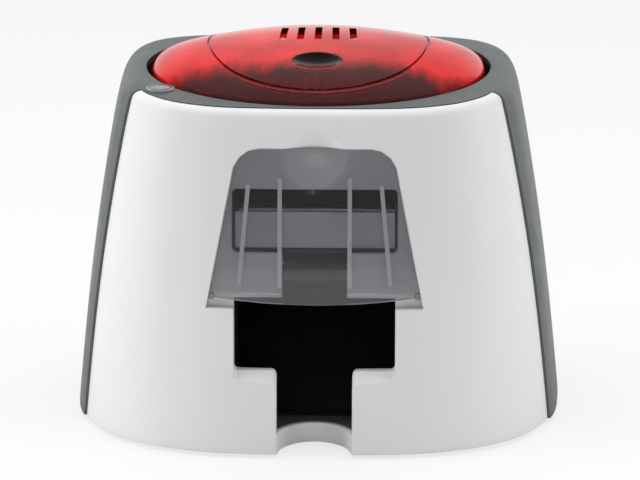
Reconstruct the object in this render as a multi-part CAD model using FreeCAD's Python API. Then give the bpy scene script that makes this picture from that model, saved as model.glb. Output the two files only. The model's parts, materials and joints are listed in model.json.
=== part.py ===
import FreeCAD, Part
import os
from math import pi, sin, cos, radians, sqrt, asin, atan2, hypot, copysign

# Frame: +X right, +Y to the rear, +Z up, origin on the table under the middle of the body. Millimetres.

# Card and overall size
card_long = 85.6
card_short = 54.0
card_half = card_long / 2
body_width = 272.0
body_depth = 197.0
foot_height = 2.5

# Body form: outline at the table and at the deck
widest_y = 28.0
front_y = -body_depth / 2
rear_y = body_depth / 2
deck_half_width = 109.6
deck_front_y = -75.5
deck_rear_y = 76.0
deck_front_z = 189.2
deck_slope = 0.07
base_power = 2.85
deck_power = 3.5
side_lean_share = 0.555
front_lean_share = 0.72
rear_lean_share = 0.45
side_shoulder = 15.0
front_shoulder = 5.0
rear_shoulder = 16.0
outline_points = 32
wall_level_shares = (0.0, 0.03, 0.3, 0.6, 0.85, 1.0)
shoulder_angles = (22.5, 50.0, 78.0, 90.0)
corner_share = 0.55
deck_lip = 0.4

# Mouldings
wall = 3.0
seam_step = 1.2
deck_step = 0.4
seam_gap = 0.4
seam_top_y = -40.0
seam_bottom_y = -33.0
seam_corner_radius = 9.0
overrun = 40.0
running = 0.05
slack = 0.3

# Lid
lid_centre_y = 5.0
lid_side_land = 17.6
lid_front_land = 9.5
lid_rear_land = 22.0
lid_rear_bulge = 8.0
lid_half_width = deck_half_width - lid_side_land
lid_front_reach = lid_centre_y - deck_front_y - lid_front_land
lid_rear_y = deck_rear_y - lid_rear_land
lid_rear_reach = lid_rear_y + lid_rear_bulge
lid_rise = 18.2
lid_wall = 2.5
lid_skirt = 3.5
lid_gap = 3.2
lid_front_gap = 0.8
lid_ring_shares = (1.0, 0.93, 0.8, 0.62, 0.4, 0.2, 0.05)
step_ring_y = 6.5
step_ring_radius = 61.5
step_ring_width = 1.4
step_ring_depth = 1.2
dimple_y = -29.0
dimple_half_width = 14.1
dimple_half_length = 8.8
dimple_depth = 3.2
vent_count = 5
vent_front_pitch = 9.8
vent_rear_pitch = 9.3
vent_width = 3.9
vent_front_y = -4.3
vent_rear_y = 19.7
vent_undercut = 15.0
vent_floor_rear_y = 17.8
vent_floor_drop = 0.6
vent_floor_wall = 1.5
lid_rib_count = 3
lid_rib_pitch = 5.0
lid_rib_width = 1.1
lid_rib_depth = 1.6

# Lid hinge
hinge_reach = 6.0
hinge_rise = 4.0
lid_hinge_y = lid_rear_y + hinge_reach
lid_hinge_z = deck_front_z + hinge_rise
lid_pin_radius = 2.0
lid_pin_half_length = 52.0
knuckle_x = 40.0
knuckle_width = 10.0
knuckle_radius = 4.6
knuckle_arm_share = 0.7

# Card path and rollers
path_drop = 76.2
path_z = deck_front_z - path_drop
feed_radius = 11.0
entry_radius = 7.0
platen_radius = 9.0
exit_radius = 7.0
pinch_radius = 4.0
roller_nip = 0.3
feed_sink = 0.4
feed_reach = 26.312
feed_to_entry = 45.0
entry_to_platen = 25.0
platen_to_exit = 23.0
feed_half_length = 17.0
roller_play = 0.2
roller_half_length = card_half + roller_play
shaft_radius = 3.0
pinch_shaft_radius = 1.5
hopper_wall = 2.2

# Feeder recess, cover and finger dish
cover_top_drop = 20.8
cover_top_corner = 16.4
cover_corner_drop = 23.0
cover_pivot_drop = 1.8
cover_bottom_drop = 1.4
cover_top_z = deck_front_z - cover_top_drop
cover_shoulder_z = cover_top_z - cover_top_corner
cover_corner_z = path_z - cover_corner_drop
cover_pivot_z = cover_corner_z - cover_pivot_drop
cover_bottom_z = cover_corner_z - cover_bottom_drop
cover_bow = 4.0
cover_top_half_width = 30.0
cover_shoulder_half_width = 44.6
cover_bottom_half_width = 56.6
cover_depth = 0.3
cover_wall = 2.4
cover_gap = 0.5
recess_depth = 6.4
recess_floor = 2.4
recess_gap_below = 6.6
recess_bottom_z = cover_bottom_z - recess_gap_below
cover_pin_radius = 1.5
cover_pin_inset = 2.8
cover_ear_radius = 1.9
cover_pin_reach = 2.4
dish_drop = 5.4
dish_z = cover_top_z - dish_drop
dish_radius = 20.4
dish_depth = 7.0

# Feeder window, output mouth and thumb notch
window_margin = 1.8
window_sill = 1.5
window_head = 6.0
window_half_width = card_half + window_margin
window_bottom_z = path_z - window_sill
window_top_z = cover_shoulder_z - window_head
window_corner = 3.0
throat_margin = 0.5
throat_half_width = feed_half_length + throat_margin
throat_lap = 5.0
mouth_margin = 0.8
mouth_drop = 26.0
mouth_half_width = card_half + mouth_margin
mouth_top_z = path_z - mouth_drop
mouth_bottom_z = 39.4
mouth_corner = 2.0
shelf_run = 8.0
shelf_rise = 8.0
gap_half_width = 20.5
gap_corner = 2.8
notch_depth = 23.6
notch_height = 11.0
rim_wall = 2.4

# Frame plates
plate_margin = 7.2
plate_x = card_half + plate_margin
plate_wall = 2.0
tie_radius = 3.0
bush_radius = 5.0
bush_flange_radius = 6.5
bush_flange = 0.8

# Gears
module = 1.0
roller_teeth = 16
feed_teeth = 18
idler_teeth = 32
pinion_teeth = 12
takeup_teeth = 26
gear_width = 6.0
gear_offset = 2.4
tooth_share = 0.42
stud_radius = 2.5

# Ribbon
takeup_reach = 60.0
takeup_drop = 21.2
takeup_radius = 12.0
supply_reach = 40.0
supply_drop = 37.2
supply_radius = 18.0
core_radius = 8.0
spindle_radius = 3.0
ribbon_margin = 0.8
ribbon_half_width = card_half - ribbon_margin
guide_bar_radius = 2.0
front_bar_reach = 20.5
front_bar_rise = 9.5
rear_bar_reach = 15.0
rear_bar_rise = 10.5

Vec = FreeCAD.Vector
X_AXIS = Vec(1, 0, 0)
Y_AXIS = Vec(0, 1, 0)
Z_AXIS = Vec(0, 0, 1)


# Basic solids
def box(x0, x1, y0, y1, z0, z1):
    return Part.makeBox(x1 - x0, y1 - y0, z1 - z0, Vec(x0, y0, z0))


def rod_x(radius, x0, x1, y, z):
    return Part.makeCylinder(radius, x1 - x0, Vec(x0, y, z), X_AXIS)


def rod_y(radius, y0, y1, x, z):
    return Part.makeCylinder(radius, y1 - y0, Vec(x, y0, z), Y_AXIS)


def rod_z(radius, z0, z1, x, y):
    return Part.makeCylinder(radius, z1 - z0, Vec(x, y, z0), Z_AXIS)


def tube_x(outer, inner, x0, x1, y, z):
    return rod_x(outer, x0, x1, y, z).cut(rod_x(inner, x0 - overrun, x1 + overrun, y, z))


def face_of(points):
    closed = [Vec(*p) for p in points] + [Vec(*points[0])]
    return Part.Face(Part.makePolygon(closed))


def slab_x(points, x0, x1):
    """Side-view outline (y, z) made solid from x0 to x1."""
    return face_of([(x0, y, z) for y, z in points]).extrude(Vec(x1 - x0, 0, 0))


def slab_y(points, y0, y1):
    """Front-view outline (x, z) made solid from y0 to y1."""
    return face_of([(x, y0, z) for x, z in points]).extrude(Vec(0, y1 - y0, 0))


def slab_z(points, z0, z1):
    """Plan outline (x, y) made solid from z0 to z1."""
    return face_of([(x, y, z0) for x, y in points]).extrude(Vec(0, 0, z1 - z0))


def fillet_along(solid, axis, radius, keep):
    """Rounds the straight edges that run along axis and that keep accepts."""
    edges = []
    for edge in solid.Edges:
        a = edge.Vertexes[0].Point
        b = edge.Vertexes[-1].Point
        run = b.sub(a)
        if run.Length > 0 and abs(run.normalize().dot(axis)) > 0.999 and keep(a.add(b).multiply(0.5)):
            edges.append(edge)
    return solid.makeFillet(radius, edges)


def anywhere(point):
    return True


def join(shapes):
    result = shapes[0]
    if len(shapes) > 1:
        result = result.multiFuse(shapes[1:])
    return result.removeSplitter()


def largest(shape):
    return max(shape.Solids, key=lambda solid: solid.Volume)


# Body form
def deck_z(y):
    return deck_front_z + (y - deck_front_y) * deck_slope


def outline_power(z):
    return base_power + (deck_power - base_power) * max(z, 0.0) / deck_front_z


def power_point(angle, half_width, front_reach, rear_reach, centre_y, power):
    c = cos(angle)
    s = sin(angle)
    reach = front_reach if s < 0 else rear_reach
    x = half_width * copysign(abs(c) ** (2 / power), c)
    y = centre_y + reach * copysign(abs(s) ** (2 / power), s)
    return x, y


def lean(start, end, share, height_share):
    return start + (end - start) * (share * height_share + (1 - share) * height_share ** 2)


def reaches(z):
    """Half width, front reach and rear reach of the body at height z."""
    height_share = max(z, 0.0) / deck_front_z
    half_width = lean(body_width / 2, deck_half_width, side_lean_share, height_share)
    front = lean(front_y, deck_front_y, front_lean_share, height_share)
    rear = lean(rear_y, deck_rear_y, rear_lean_share, height_share)
    return half_width, widest_y - front, rear - widest_y


def outline_point(angle, z, inset):
    half_width, front, rear = reaches(z)
    return power_point(angle, half_width - inset, front - inset, rear - inset, widest_y, outline_power(z))


def shoulder_at(angle, inset):
    """Radius of the rounded deck edge: tight along the front, wide at the sides and rear."""
    if sin(angle) < 0:
        turn = min(-sin(angle) / corner_share, 1.0)
        blend = turn * turn * (3 - 2 * turn)
        radius = side_shoulder + (front_shoulder - side_shoulder) * blend
    else:
        radius = side_shoulder + (rear_shoulder - side_shoulder) * sin(angle) ** 2
    return max(radius - inset, inset)


def closed_curve(points):
    steps = [i / len(points) for i in range(len(points) + 1)]
    curve = Part.BSplineCurve()
    curve.interpolate(Points=points, PeriodicFlag=True, Parameters=steps)
    return curve


def face_inside(curve):
    return Part.Face(Part.Wire(curve.toShape()))


def skin_solid(curves):
    """Closed solid whose skin is drawn smoothly over a stack of closed curves, with flat ends."""
    poles = [curve.getPoles() for curve in curves]
    columns = [[row[i] for row in poles] for i in range(len(poles[0]))]
    first = curves[0]
    spans = len(curves) - 2
    row_knots = [i / (spans - 1) for i in range(spans)]
    row_mults = [4] + [1] * (spans - 2) + [4]
    skin = Part.BSplineSurface()
    skin.buildFromPolesMultsKnots(columns, first.getMultiplicities(), row_mults, first.getKnots(), row_knots,
                                  True, False, 3, 3)
    shell = Part.makeShell([skin.toShape(), face_inside(first), face_inside(curves[-1])])
    shell.sewShape()
    solid = Part.makeSolid(shell)
    if solid.Volume < 0:
        solid.reverse()
    return solid


def wall_row(level_share, inset, drop):
    points = []
    for i in range(outline_points):
        angle = 2 * pi * i / outline_points
        x, y = outline_point(angle, deck_front_z, inset)
        foot = deck_z(y) - drop - shoulder_at(angle, inset)
        z = foot_height + level_share * (foot - foot_height)
        x, y = outline_point(angle, z, inset)
        points.append(Vec(x, y, z))
    return closed_curve(points)


def shoulder_row(turn, inset, drop):
    points = []
    for i in range(outline_points):
        angle = 2 * pi * i / outline_points
        radius = shoulder_at(angle, inset)
        shrink = inset + radius * (1 - cos(radians(turn)))
        x, y = outline_point(angle, deck_front_z, shrink)
        z = deck_z(y) - drop - radius * (1 - sin(radians(turn)))
        points.append(Vec(x, y, z))
    return closed_curve(points)


def body_form(inset, drop, reach_down=0.0):
    """Solid of the whole body, moved in by inset and with its deck lowered by drop."""
    rows = [wall_row(share, inset, drop) for share in wall_level_shares]
    rows += [shoulder_row(turn, inset, drop) for turn in shoulder_angles]
    if reach_down > 0:
        below = rows[0].copy()
        below.translate(Vec(0, 0, -reach_down))
        rows.insert(0, below)
    return skin_solid(rows)


def outline_slab(wire_inset, z0, z1):
    """Upright slab whose plan is the edge of the flat deck, moved in by wire_inset."""
    points = []
    for i in range(outline_points):
        angle = 2 * pi * i / outline_points
        x, y = outline_point(angle, deck_front_z, shoulder_at(angle, 0.0) + wire_inset)
        points.append(Vec(x, y, z0))
    return face_inside(closed_curve(points)).extrude(Vec(0, 0, z1 - z0))


def body_front_y(z):
    half_width, front, rear = reaches(z)
    return widest_y - front


# Roller and spool places, from the front wall to the rear
feed_y = body_front_y(path_z) + feed_reach
entry_y = feed_y + feed_to_entry
platen_y = entry_y + entry_to_platen
exit_y = platen_y + platen_to_exit
feed_z = path_z - feed_radius - feed_sink
entry_z = path_z - entry_radius
platen_z = path_z - platen_radius
exit_z = path_z - exit_radius
pinch_z = path_z + pinch_radius + roller_nip
takeup_y = platen_y - takeup_reach
takeup_z = deck_front_z - takeup_drop
supply_y = platen_y + supply_reach
supply_z = deck_front_z - supply_drop
front_bar_y = platen_y - front_bar_reach
front_bar_z = path_z + front_bar_rise
rear_bar_y = platen_y + rear_bar_reach
rear_bar_z = path_z + rear_bar_rise

top_z = deck_front_z + overrun + overrun
far_x = body_width
far_y = body_depth
outer_form = body_form(0.0, 0.0)
inner_form = body_form(wall, wall, overrun)
white_form = body_form(seam_step, deck_step)


def seam_y(z):
    return seam_bottom_y + (seam_top_y - seam_bottom_y) * z / deck_front_z


def front_zone(offset):
    """Everything in front of the side seam; offset moves the seam to the rear."""
    seam_top = deck_z(seam_top_y)
    low = -overrun
    outline = [(-far_y, low), (seam_y(low) + offset, low), (seam_y(seam_top) + offset, seam_top + offset)]
    outline += [(seam_y(seam_top) + offset - seam_corner_radius, top_z), (-far_y, top_z)]
    return slab_x(outline, -far_x, far_x)


# Feeder recess outline
def cover_outline(grow, bottom):
    """Front view of the cover from its bottom line up, grown outwards by grow."""
    side = (cover_bottom_half_width - cover_shoulder_half_width) / (cover_shoulder_z - cover_corner_z)
    low_half = cover_bottom_half_width + side * (cover_corner_z - bottom) + grow
    right = [(low_half, bottom), (cover_shoulder_half_width + grow, cover_shoulder_z)]
    corner_centre_x = cover_top_half_width
    corner_x = cover_shoulder_half_width - cover_top_half_width
    corner_z = cover_top_z - cover_shoulder_z
    for step in (1, 2, 3, 4):
        turn = radians(step * 22.5)
        x = corner_centre_x + (corner_x + grow) * cos(turn)
        z = cover_shoulder_z + (corner_z + grow) * sin(turn)
        right.append((x, z))
    left = [(-x, z) for x, z in reversed(right)]
    return right + left


def dish_sphere_radius(radius, depth):
    """Radius of the ball that cuts a dish of this radius and depth."""
    return (radius ** 2 + depth ** 2) / (2 * depth)


def finger_dish(radius_grow):
    sphere_radius = dish_sphere_radius(dish_radius, dish_depth)
    surface_y = body_front_y(dish_z)
    centre = Vec(0, surface_y - (sphere_radius - dish_depth), dish_z)
    return Part.makeSphere(sphere_radius + radius_grow, centre)


def mouth_slab(grow):
    """Stepped mouth seen from the front: the wide part over the thumb gap."""
    wide = box(-mouth_half_width - grow, mouth_half_width + grow, -far_y, 0, mouth_bottom_z - grow,
               mouth_top_z + grow)
    narrow = box(-gap_half_width - grow, gap_half_width + grow, -far_y, 0, -overrun, mouth_top_z)
    return wide.fuse(narrow)


def mouth_cut():
    """Wide mouth over the thumb gap, its floor a pair of sloping shelves with rounded corners."""
    y0 = body_front_y(mouth_bottom_z)
    rear = y0 + shelf_run
    shelf_z = mouth_bottom_z + shelf_rise
    slope = [(y0 - shelf_run, mouth_bottom_z - shelf_rise), (rear, shelf_z), (rear, mouth_top_z),
             (y0 - shelf_run, mouth_top_z)]
    outer = slab_x(slope, -mouth_half_width, mouth_half_width)
    outer = join([outer, box(-gap_half_width, gap_half_width, y0 - shelf_run, rear, -overrun, mouth_top_z)])
    middle_x = (gap_half_width + mouth_half_width) / 2
    along_slope = Vec(0, shelf_run, shelf_rise).normalize()
    outer = fillet_along(outer, along_slope, mouth_corner, lambda p: abs(p.x) > middle_x)
    outer = fillet_along(outer, along_slope, gap_corner, lambda p: abs(p.x) < middle_x)
    end = max(outer.Faces, key=lambda face: face.CenterOfMass.y)
    return join([outer, end.extrude(Vec(0, -rear, 0))])


def notch_wall():
    """Curved wall of the thumb notch, open to the front."""
    outer = elliptic_rod(gap_half_width + rim_wall, notch_depth + rim_wall, front_y, foot_height,
                         foot_height + notch_height)
    inner = elliptic_rod(gap_half_width, notch_depth, front_y, -overrun, top_z)
    return outer.cut(inner).common(surface_form(0.0, overrun))


def elliptic_rod(half_x, half_y, centre_y, z0, z1):
    """Upright rod of elliptic plan, centred on x = 0."""
    major = max(half_x, half_y)
    minor = min(half_x, half_y)
    ellipse = Part.Ellipse(Vec(0, 0, 0), major, minor)
    wire = Part.Wire(ellipse.toShape())
    if half_y > half_x:
        wire.rotate(Vec(0, 0, 0), Z_AXIS, 90)
    wire.translate(Vec(0, centre_y, z0))
    return Part.Face(wire).extrude(Vec(0, 0, z1 - z0))


def make_front_shell():
    shell = white_form.cut(inner_form)
    zone = front_zone(0.0)
    shell = shell.common(zone)
    rim = outline_slab(deck_lip, deck_front_z - side_shoulder, top_z)
    shell = shell.cut(rim)
    deep = body_form(recess_depth + recess_floor, recess_depth + recess_floor, overrun)
    pan = slab_y(cover_outline(cover_gap + rim_wall, recess_bottom_z - rim_wall), -far_y, 0)
    pan = white_form.cut(deep).common(pan)
    frame_deep = body_form(shelf_run + rim_wall, shelf_run + rim_wall, overrun)
    frame = white_form.cut(frame_deep).common(mouth_slab(rim_wall))
    dish = white_form.common(finger_dish(rim_wall))
    shell = join([shell, pan, frame, dish])
    recess_floor_form = body_form(recess_depth, recess_depth, overrun)
    recess = slab_y(cover_outline(cover_gap, recess_bottom_z), -far_y, 0)
    recess = recess.cut(recess_floor_form).cut(box(-far_x, far_x, widest_y, far_y, -overrun, top_z))
    window = box(-window_half_width, window_half_width, -far_y, 0, window_bottom_z, window_top_z)
    window = fillet_along(window, Y_AXIS, window_corner, anywhere)
    throat = box(-throat_half_width, throat_half_width, -far_y, 0, mouth_top_z - throat_lap,
                 window_bottom_z + throat_lap)
    notch_hole = elliptic_rod(gap_half_width, notch_depth, front_y, -overrun,
                              foot_height + notch_height + overrun)
    for tool in (recess, window, throat, mouth_cut(), finger_dish(0.0), notch_hole):
        shell = shell.cut(tool)
    shell = join([shell, notch_wall()] + [screw_boss(x, y) for x, y in front_boss_places()])
    return largest(shell.cut(front_trim()))


# Base fixings
tray_wall = 2.5
tray_gap = 0.6
tray_top_z = foot_height + tray_wall
foot_x = 92.0
foot_front_y = -50.0
foot_rear_y = 62.0
foot_radius = 8.0
boss_front_x = 84.0
boss_rear_x = 96.0
boss_radius = 5.0
boss_top_z = 26.0
boss_bite = 1.2
screw_radius = 1.6
screw_head_radius = 3.0
screw_head = 1.8
screw_length = 16.0


def wall_y(x, z, side, inset):
    """Where the body's front (side -1) or rear (side 1) skin, moved in by inset, stands at x and z."""
    half_width, front, rear = reaches(z)
    power = outline_power(z)
    share = (1 - (abs(x) / (half_width - inset)) ** power) ** (1 / power)
    reach = (front if side < 0 else rear) - inset
    return widest_y + side * reach * share


def boss_places(x, side):
    y = wall_y(x, boss_top_z, side, wall) - side * (boss_radius - boss_bite)
    return [(-x, y), (x, y)]


def front_boss_places():
    return boss_places(boss_front_x, -1)


def rear_boss_places():
    return boss_places(boss_rear_x, 1)


def screw_boss(x, y):
    bore = rod_z(screw_radius + running, -overrun, top_z, x, y)
    return rod_z(boss_radius, tray_top_z, boss_top_z, x, y).cut(bore)


def make_base_screws():
    screws = []
    for x, y in front_boss_places() + rear_boss_places():
        head = Part.makeCone(screw_head_radius, screw_radius, screw_head, Vec(x, y, foot_height), Z_AXIS)
        screws.append(head.fuse(rod_z(screw_radius, foot_height, foot_height + screw_length, x, y)))
    return Part.makeCompound(screws)


# Base tray
rail_height = 7.0
rail_wall = 2.5
rail_front_y = -50.0
rail_rear_y = 50.0
vent_slot_count = 6
vent_slot_pitch = 8.0
vent_slot_width = 3.0
vent_slot_x = 66.0
vent_slot_front_y = -30.0
vent_slot_rear_y = 20.0
post_radius = 3.5


def make_base_tray():
    plate = face_inside(wall_row(0.0, wall + tray_gap, 0.0)).extrude(Vec(0, 0, tray_wall))
    notch_x = gap_half_width + rim_wall + slack
    notch = elliptic_rod(notch_x, notch_depth + rim_wall + slack, front_y, -overrun, top_z)
    throat_rear = front_y + shelf_run + rim_wall + wall
    throat = box(-notch_x, notch_x, -far_y, throat_rear, -overrun, top_z)
    tray = plate.cut(notch).cut(throat)
    for side in (-1, 1):
        for i in range(vent_slot_count):
            x = side * (vent_slot_x + i * vent_slot_pitch)
            half = vent_slot_width / 2
            tray = tray.cut(box(x - half, x + half, vent_slot_front_y, vent_slot_rear_y, -overrun, top_z))
    for x, y in front_boss_places() + rear_boss_places():
        tray = tray.cut(Part.makeCone(screw_head_radius + running, screw_radius + running, screw_head,
                                      Vec(x, y, foot_height), Z_AXIS))
        tray = tray.cut(rod_z(screw_radius + running, -overrun, top_z, x, y))
    rail_x = plate_x + plate_wall + slack
    rails = [box(rail_x, rail_x + rail_wall, rail_front_y, rail_rear_y, foot_height,
                 tray_top_z + rail_height)]
    rails.append(rails[0].mirror(Vec(0, 0, 0), X_AXIS))
    posts = [rod_z(post_radius, foot_height, board_z, x, y) for x, y in board_posts()]
    return join([tray] + rails + posts)


def make_feet():
    feet = []
    for x in (-foot_x, foot_x):
        for y in (foot_front_y, foot_rear_y):
            feet.append(rod_z(foot_radius, 0, foot_height, x, y))
    return Part.makeCompound(feet)


# Main board and sockets
board_z = 10.0
board_wall = 1.6
board_half_width = 46.0
board_length = 78.0
board_gap = 8.5
board_rear_y = rear_y - board_gap
board_front_y = board_rear_y - board_length
board_hole_inset = 5.0
jack_x = -30.0
jack_half_width = 5.5
jack_height = 11.0
jack_length = 14.5
jack_bore_radius = 3.2
usb_x = 8.0
usb_half_width = 6.5
usb_height = 12.0
usb_length = 16.8
usb_wall = 1.0
socket_reach = 0.5
socket_gap = 0.5
chip_size = 14.0
chip_height = 2.0
can_radius = 5.0
can_height = 14.0


def board_posts():
    x = board_half_width - board_hole_inset
    return [(-x, board_front_y + board_hole_inset), (x, board_front_y + board_hole_inset),
            (-x, board_rear_y - board_hole_inset), (x, board_rear_y - board_hole_inset)]


def make_main_board():
    return box(-board_half_width, board_half_width, board_front_y, board_rear_y, board_z,
               board_z + board_wall)


def make_board_components():
    top = board_z + board_wall
    pieces = []
    for x, y in ((-chip_size, chip_size), (chip_size, chip_size * 2), (-chip_size, chip_size * 3)):
        pieces.append(box(x, x + chip_size, board_front_y + y, board_front_y + y + chip_size, top,
                          top + chip_height))
    for step in (1, 2):
        pieces.append(rod_z(can_radius, top, top + can_height, board_half_width - can_radius * 2,
                            board_front_y + can_radius * (1 + 3 * step)))
    header = box(-board_half_width, chip_size - board_half_width, board_front_y + chip_size,
                 board_front_y + 2 * chip_size, top, top + chip_height * 4)
    pieces.append(header)
    return Part.makeCompound(pieces)


def socket_rear_y(x):
    return wall_y(x, board_z + board_wall, 1, 0.0) - socket_reach * 2


def make_power_jack():
    top = board_z + board_wall
    rear = socket_rear_y(jack_x)
    front = rear - jack_length
    body = box(jack_x - jack_half_width, jack_x + jack_half_width, front, rear, top, top + jack_height)
    return body.cut(rod_y(jack_bore_radius, front + usb_wall, far_y, jack_x, top + jack_height / 2))


def make_usb_socket():
    top = board_z + board_wall
    rear = socket_rear_y(usb_x)
    front = rear - usb_length
    body = box(usb_x - usb_half_width, usb_x + usb_half_width, front, rear, top, top + usb_height)
    inner = box(usb_x - usb_half_width + usb_wall, usb_x + usb_half_width - usb_wall, front + usb_wall,
                far_y,
                top + usb_wall, top + usb_height - usb_wall)
    return body.cut(inner)


# Rear cover
rear_cover_bottom_z = 9.0
rear_cover_top_drop = 39.2
rear_cover_top_z = deck_front_z - rear_cover_top_drop
rear_cover_bottom_half = 70.0
rear_cover_top_half = 60.0
rear_cover_corner = 8.0
rear_gap = 0.3
rear_vent_count = 9
rear_vent_drop = 54.0
rear_vent_z = rear_cover_top_z - rear_vent_drop
rear_vent_pitch = 5.5
rear_vent_height = 2.4
rear_vent_half = 38.0
rear_tab_half = 6.0
rear_tab_reach = 4.0
rear_tab_wall = 1.8


def rear_zone(gap):
    outline = [(-rear_cover_bottom_half - gap, rear_cover_bottom_z - gap),
               (rear_cover_bottom_half + gap, rear_cover_bottom_z - gap),
               (rear_cover_top_half + gap, rear_cover_top_z + gap),
               (-rear_cover_top_half - gap, rear_cover_top_z + gap)]
    return fillet_along(slab_y(outline, widest_y, far_y), Y_AXIS, rear_cover_corner, anywhere)


def make_rear_cover():
    cover = outer_form.cut(inner_form).common(rear_zone(0.0))
    for i in range(rear_vent_count):
        z = rear_vent_z + i * rear_vent_pitch
        cover = cover.cut(box(-rear_vent_half, rear_vent_half, 0, far_y, z, z + rear_vent_height))
    top = board_z + board_wall
    jack_half = jack_half_width + socket_gap
    usb_half = usb_half_width + socket_gap
    cover = cover.cut(box(jack_x - jack_half, jack_x + jack_half, 0, far_y, top - socket_gap,
                          top + jack_height + socket_gap))
    cover = cover.cut(box(usb_x - usb_half, usb_x + usb_half, 0, far_y, top - socket_gap,
                          top + usb_height + socket_gap))
    tabs = []
    for x in (-rear_cover_top_half / 2, rear_cover_top_half / 2):
        y = wall_y(x, rear_cover_top_z, 1, wall + rear_gap)
        tabs.append(box(x - rear_tab_half, x + rear_tab_half, y - rear_tab_wall, y + wall / 2,
                        rear_cover_top_z - 2 * rear_tab_reach, rear_cover_top_z))
    return largest(join([cover] + tabs))


# Button in the deck
button_inset = 24.6
button_x = button_inset - deck_half_width
button_y = -38.0
button_radius = 5.6
button_flange_radius = 7.0
button_flange = 1.5
button_proud = 0.8
button_skirt = 3.6
button_travel = 1.2
ring_outer = 7.8
ring_inner = 5.9
ring_depth = 2.4
ring_proud = 0.5
button_dish = 0.7
button_tube_wall = 2.0
button_tube_depth = 11.0
stem_radius = 2.0
switch_gap = 0.1
board_half = 8.5


def make_power_button():
    top = deck_z(button_y)
    cap = rod_z(button_radius, top - button_skirt - button_flange, top + button_proud, button_x, button_y)
    flange_top = top - ring_depth - slack
    flange = rod_z(button_flange_radius, flange_top - button_flange, flange_top, button_x, button_y)
    stem = rod_z(stem_radius, stem_bottom_z(), top - button_skirt, button_x, button_y)
    dish_radius_top = button_radius - button_proud / 2
    sphere_radius = dish_sphere_radius(dish_radius_top, button_dish)
    dish = Part.makeSphere(sphere_radius, Vec(button_x, button_y,
                                              top + button_proud + sphere_radius - button_dish))
    return join([cap, flange, stem]).cut(dish)


def stem_bottom_z():
    return deck_z(button_y) - button_tube_depth + button_travel + switch_gap + button_flange


def make_status_ring():
    top = deck_z(button_y)
    ring = rod_z(ring_outer, top - ring_depth, top + ring_proud, button_x, button_y)
    return ring.cut(rod_z(ring_inner, -overrun, top_z, button_x, button_y))


def button_tube(grow=0.0):
    top = deck_z(button_y)
    radius = ring_outer + running + button_tube_wall + grow
    return rod_z(radius, top - button_tube_depth, top - wall / 2, button_x, button_y)


def button_bore():
    return rod_z(ring_outer + running, -overrun, top_z, button_x, button_y)


def make_button_board():
    top = deck_z(button_y) - button_tube_depth
    board = box(button_x - board_half, button_x + board_half, button_y - board_half, button_y + board_half,
                top - board_wall, top)
    switch = rod_z(stem_radius * 1.5, top, stem_bottom_z() - button_travel - switch_gap, button_x, button_y)
    return board.fuse(switch)


# Lid opening and side housing
knuckle_slack = 0.4
hinge_boss_half = 5.0
hinge_boss_depth = 3.6
hinge_boss_width = 6.5
hinge_notch_reach = 10.0
hinge_notch_drop = 6.2


def half_ellipse_points(half_width, front_reach, rear_reach, z_of):
    points = []
    for i in range(outline_points):
        angle = 2 * pi * i / outline_points
        x, y = power_point(angle, half_width, front_reach, rear_reach, lid_centre_y, 2.0)
        points.append(Vec(x, y, z_of(y)))
    return points


def level(z):
    def at(y):
        return z
    return at


def opening_slab(grow, z0, z1):
    points = half_ellipse_points(lid_half_width + lid_gap + grow, lid_front_reach + lid_front_gap + grow,
                                 lid_rear_reach + lid_gap + grow, level(z0))
    slab = face_inside(closed_curve(points)).extrude(Vec(0, 0, z1 - z0))
    return slab.cut(box(-far_x, far_x, lid_rear_y + lid_gap + grow, far_y, -overrun, top_z))


def knuckle_spans():
    half = knuckle_width / 2
    return [(-knuckle_x - half, -knuckle_x + half), (knuckle_x - half, knuckle_x + half)]


def hinge_bosses():
    bosses = []
    for x0, x1 in knuckle_spans():
        for a, b in ((x0 - knuckle_slack - hinge_boss_width, x0 - knuckle_slack),
                     (x1 + knuckle_slack, x1 + knuckle_slack + hinge_boss_width)):
            bosses.append(box(a, b, lid_hinge_y - hinge_boss_half + slack, lid_hinge_y + hinge_boss_half,
                              lid_hinge_z - hinge_boss_depth, deck_z(lid_hinge_y) - wall / 2))
    return bosses


def make_side_housing():
    shell = outer_form.cut(inner_form)
    core = outline_slab(deck_lip + seam_gap, deck_front_z - side_shoulder, top_z)
    shell = join([shell, button_tube()])
    shell = shell.cut(front_zone(seam_gap).cut(core))
    shell = shell.cut(opening_slab(0.0, deck_front_z - side_shoulder, top_z))
    shell = shell.cut(rear_zone(rear_gap))
    shell = join([shell] + hinge_bosses() + [screw_boss(x, y) for x, y in rear_boss_places()])
    shell = shell.cut(button_bore())
    for x0, x1 in knuckle_spans():
        shell = shell.cut(box(x0 - knuckle_slack, x1 + knuckle_slack, lid_rear_y,
                              lid_hinge_y + hinge_notch_reach,
                              lid_hinge_z - hinge_notch_drop, top_z))
    shell = shell.cut(rod_x(lid_pin_radius + running, -lid_pin_half_length, lid_pin_half_length, lid_hinge_y,
                            lid_hinge_z))
    return largest(shell)


def make_lid_hinge_pin():
    return rod_x(lid_pin_radius, -lid_pin_half_length, lid_pin_half_length, lid_hinge_y, lid_hinge_z)


# Black liner under the deck
liner_wall = 2.0
liner_drop = 6.0
liner_floor_z = deck_front_z - liner_drop
liner_floor = 2.0
bay_half_width = 49.2
bay_front_reach = 14.0
bay_rear_gap = 4.0
bay_corner = 5.0
liner_rear_drop = 5.2


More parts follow.
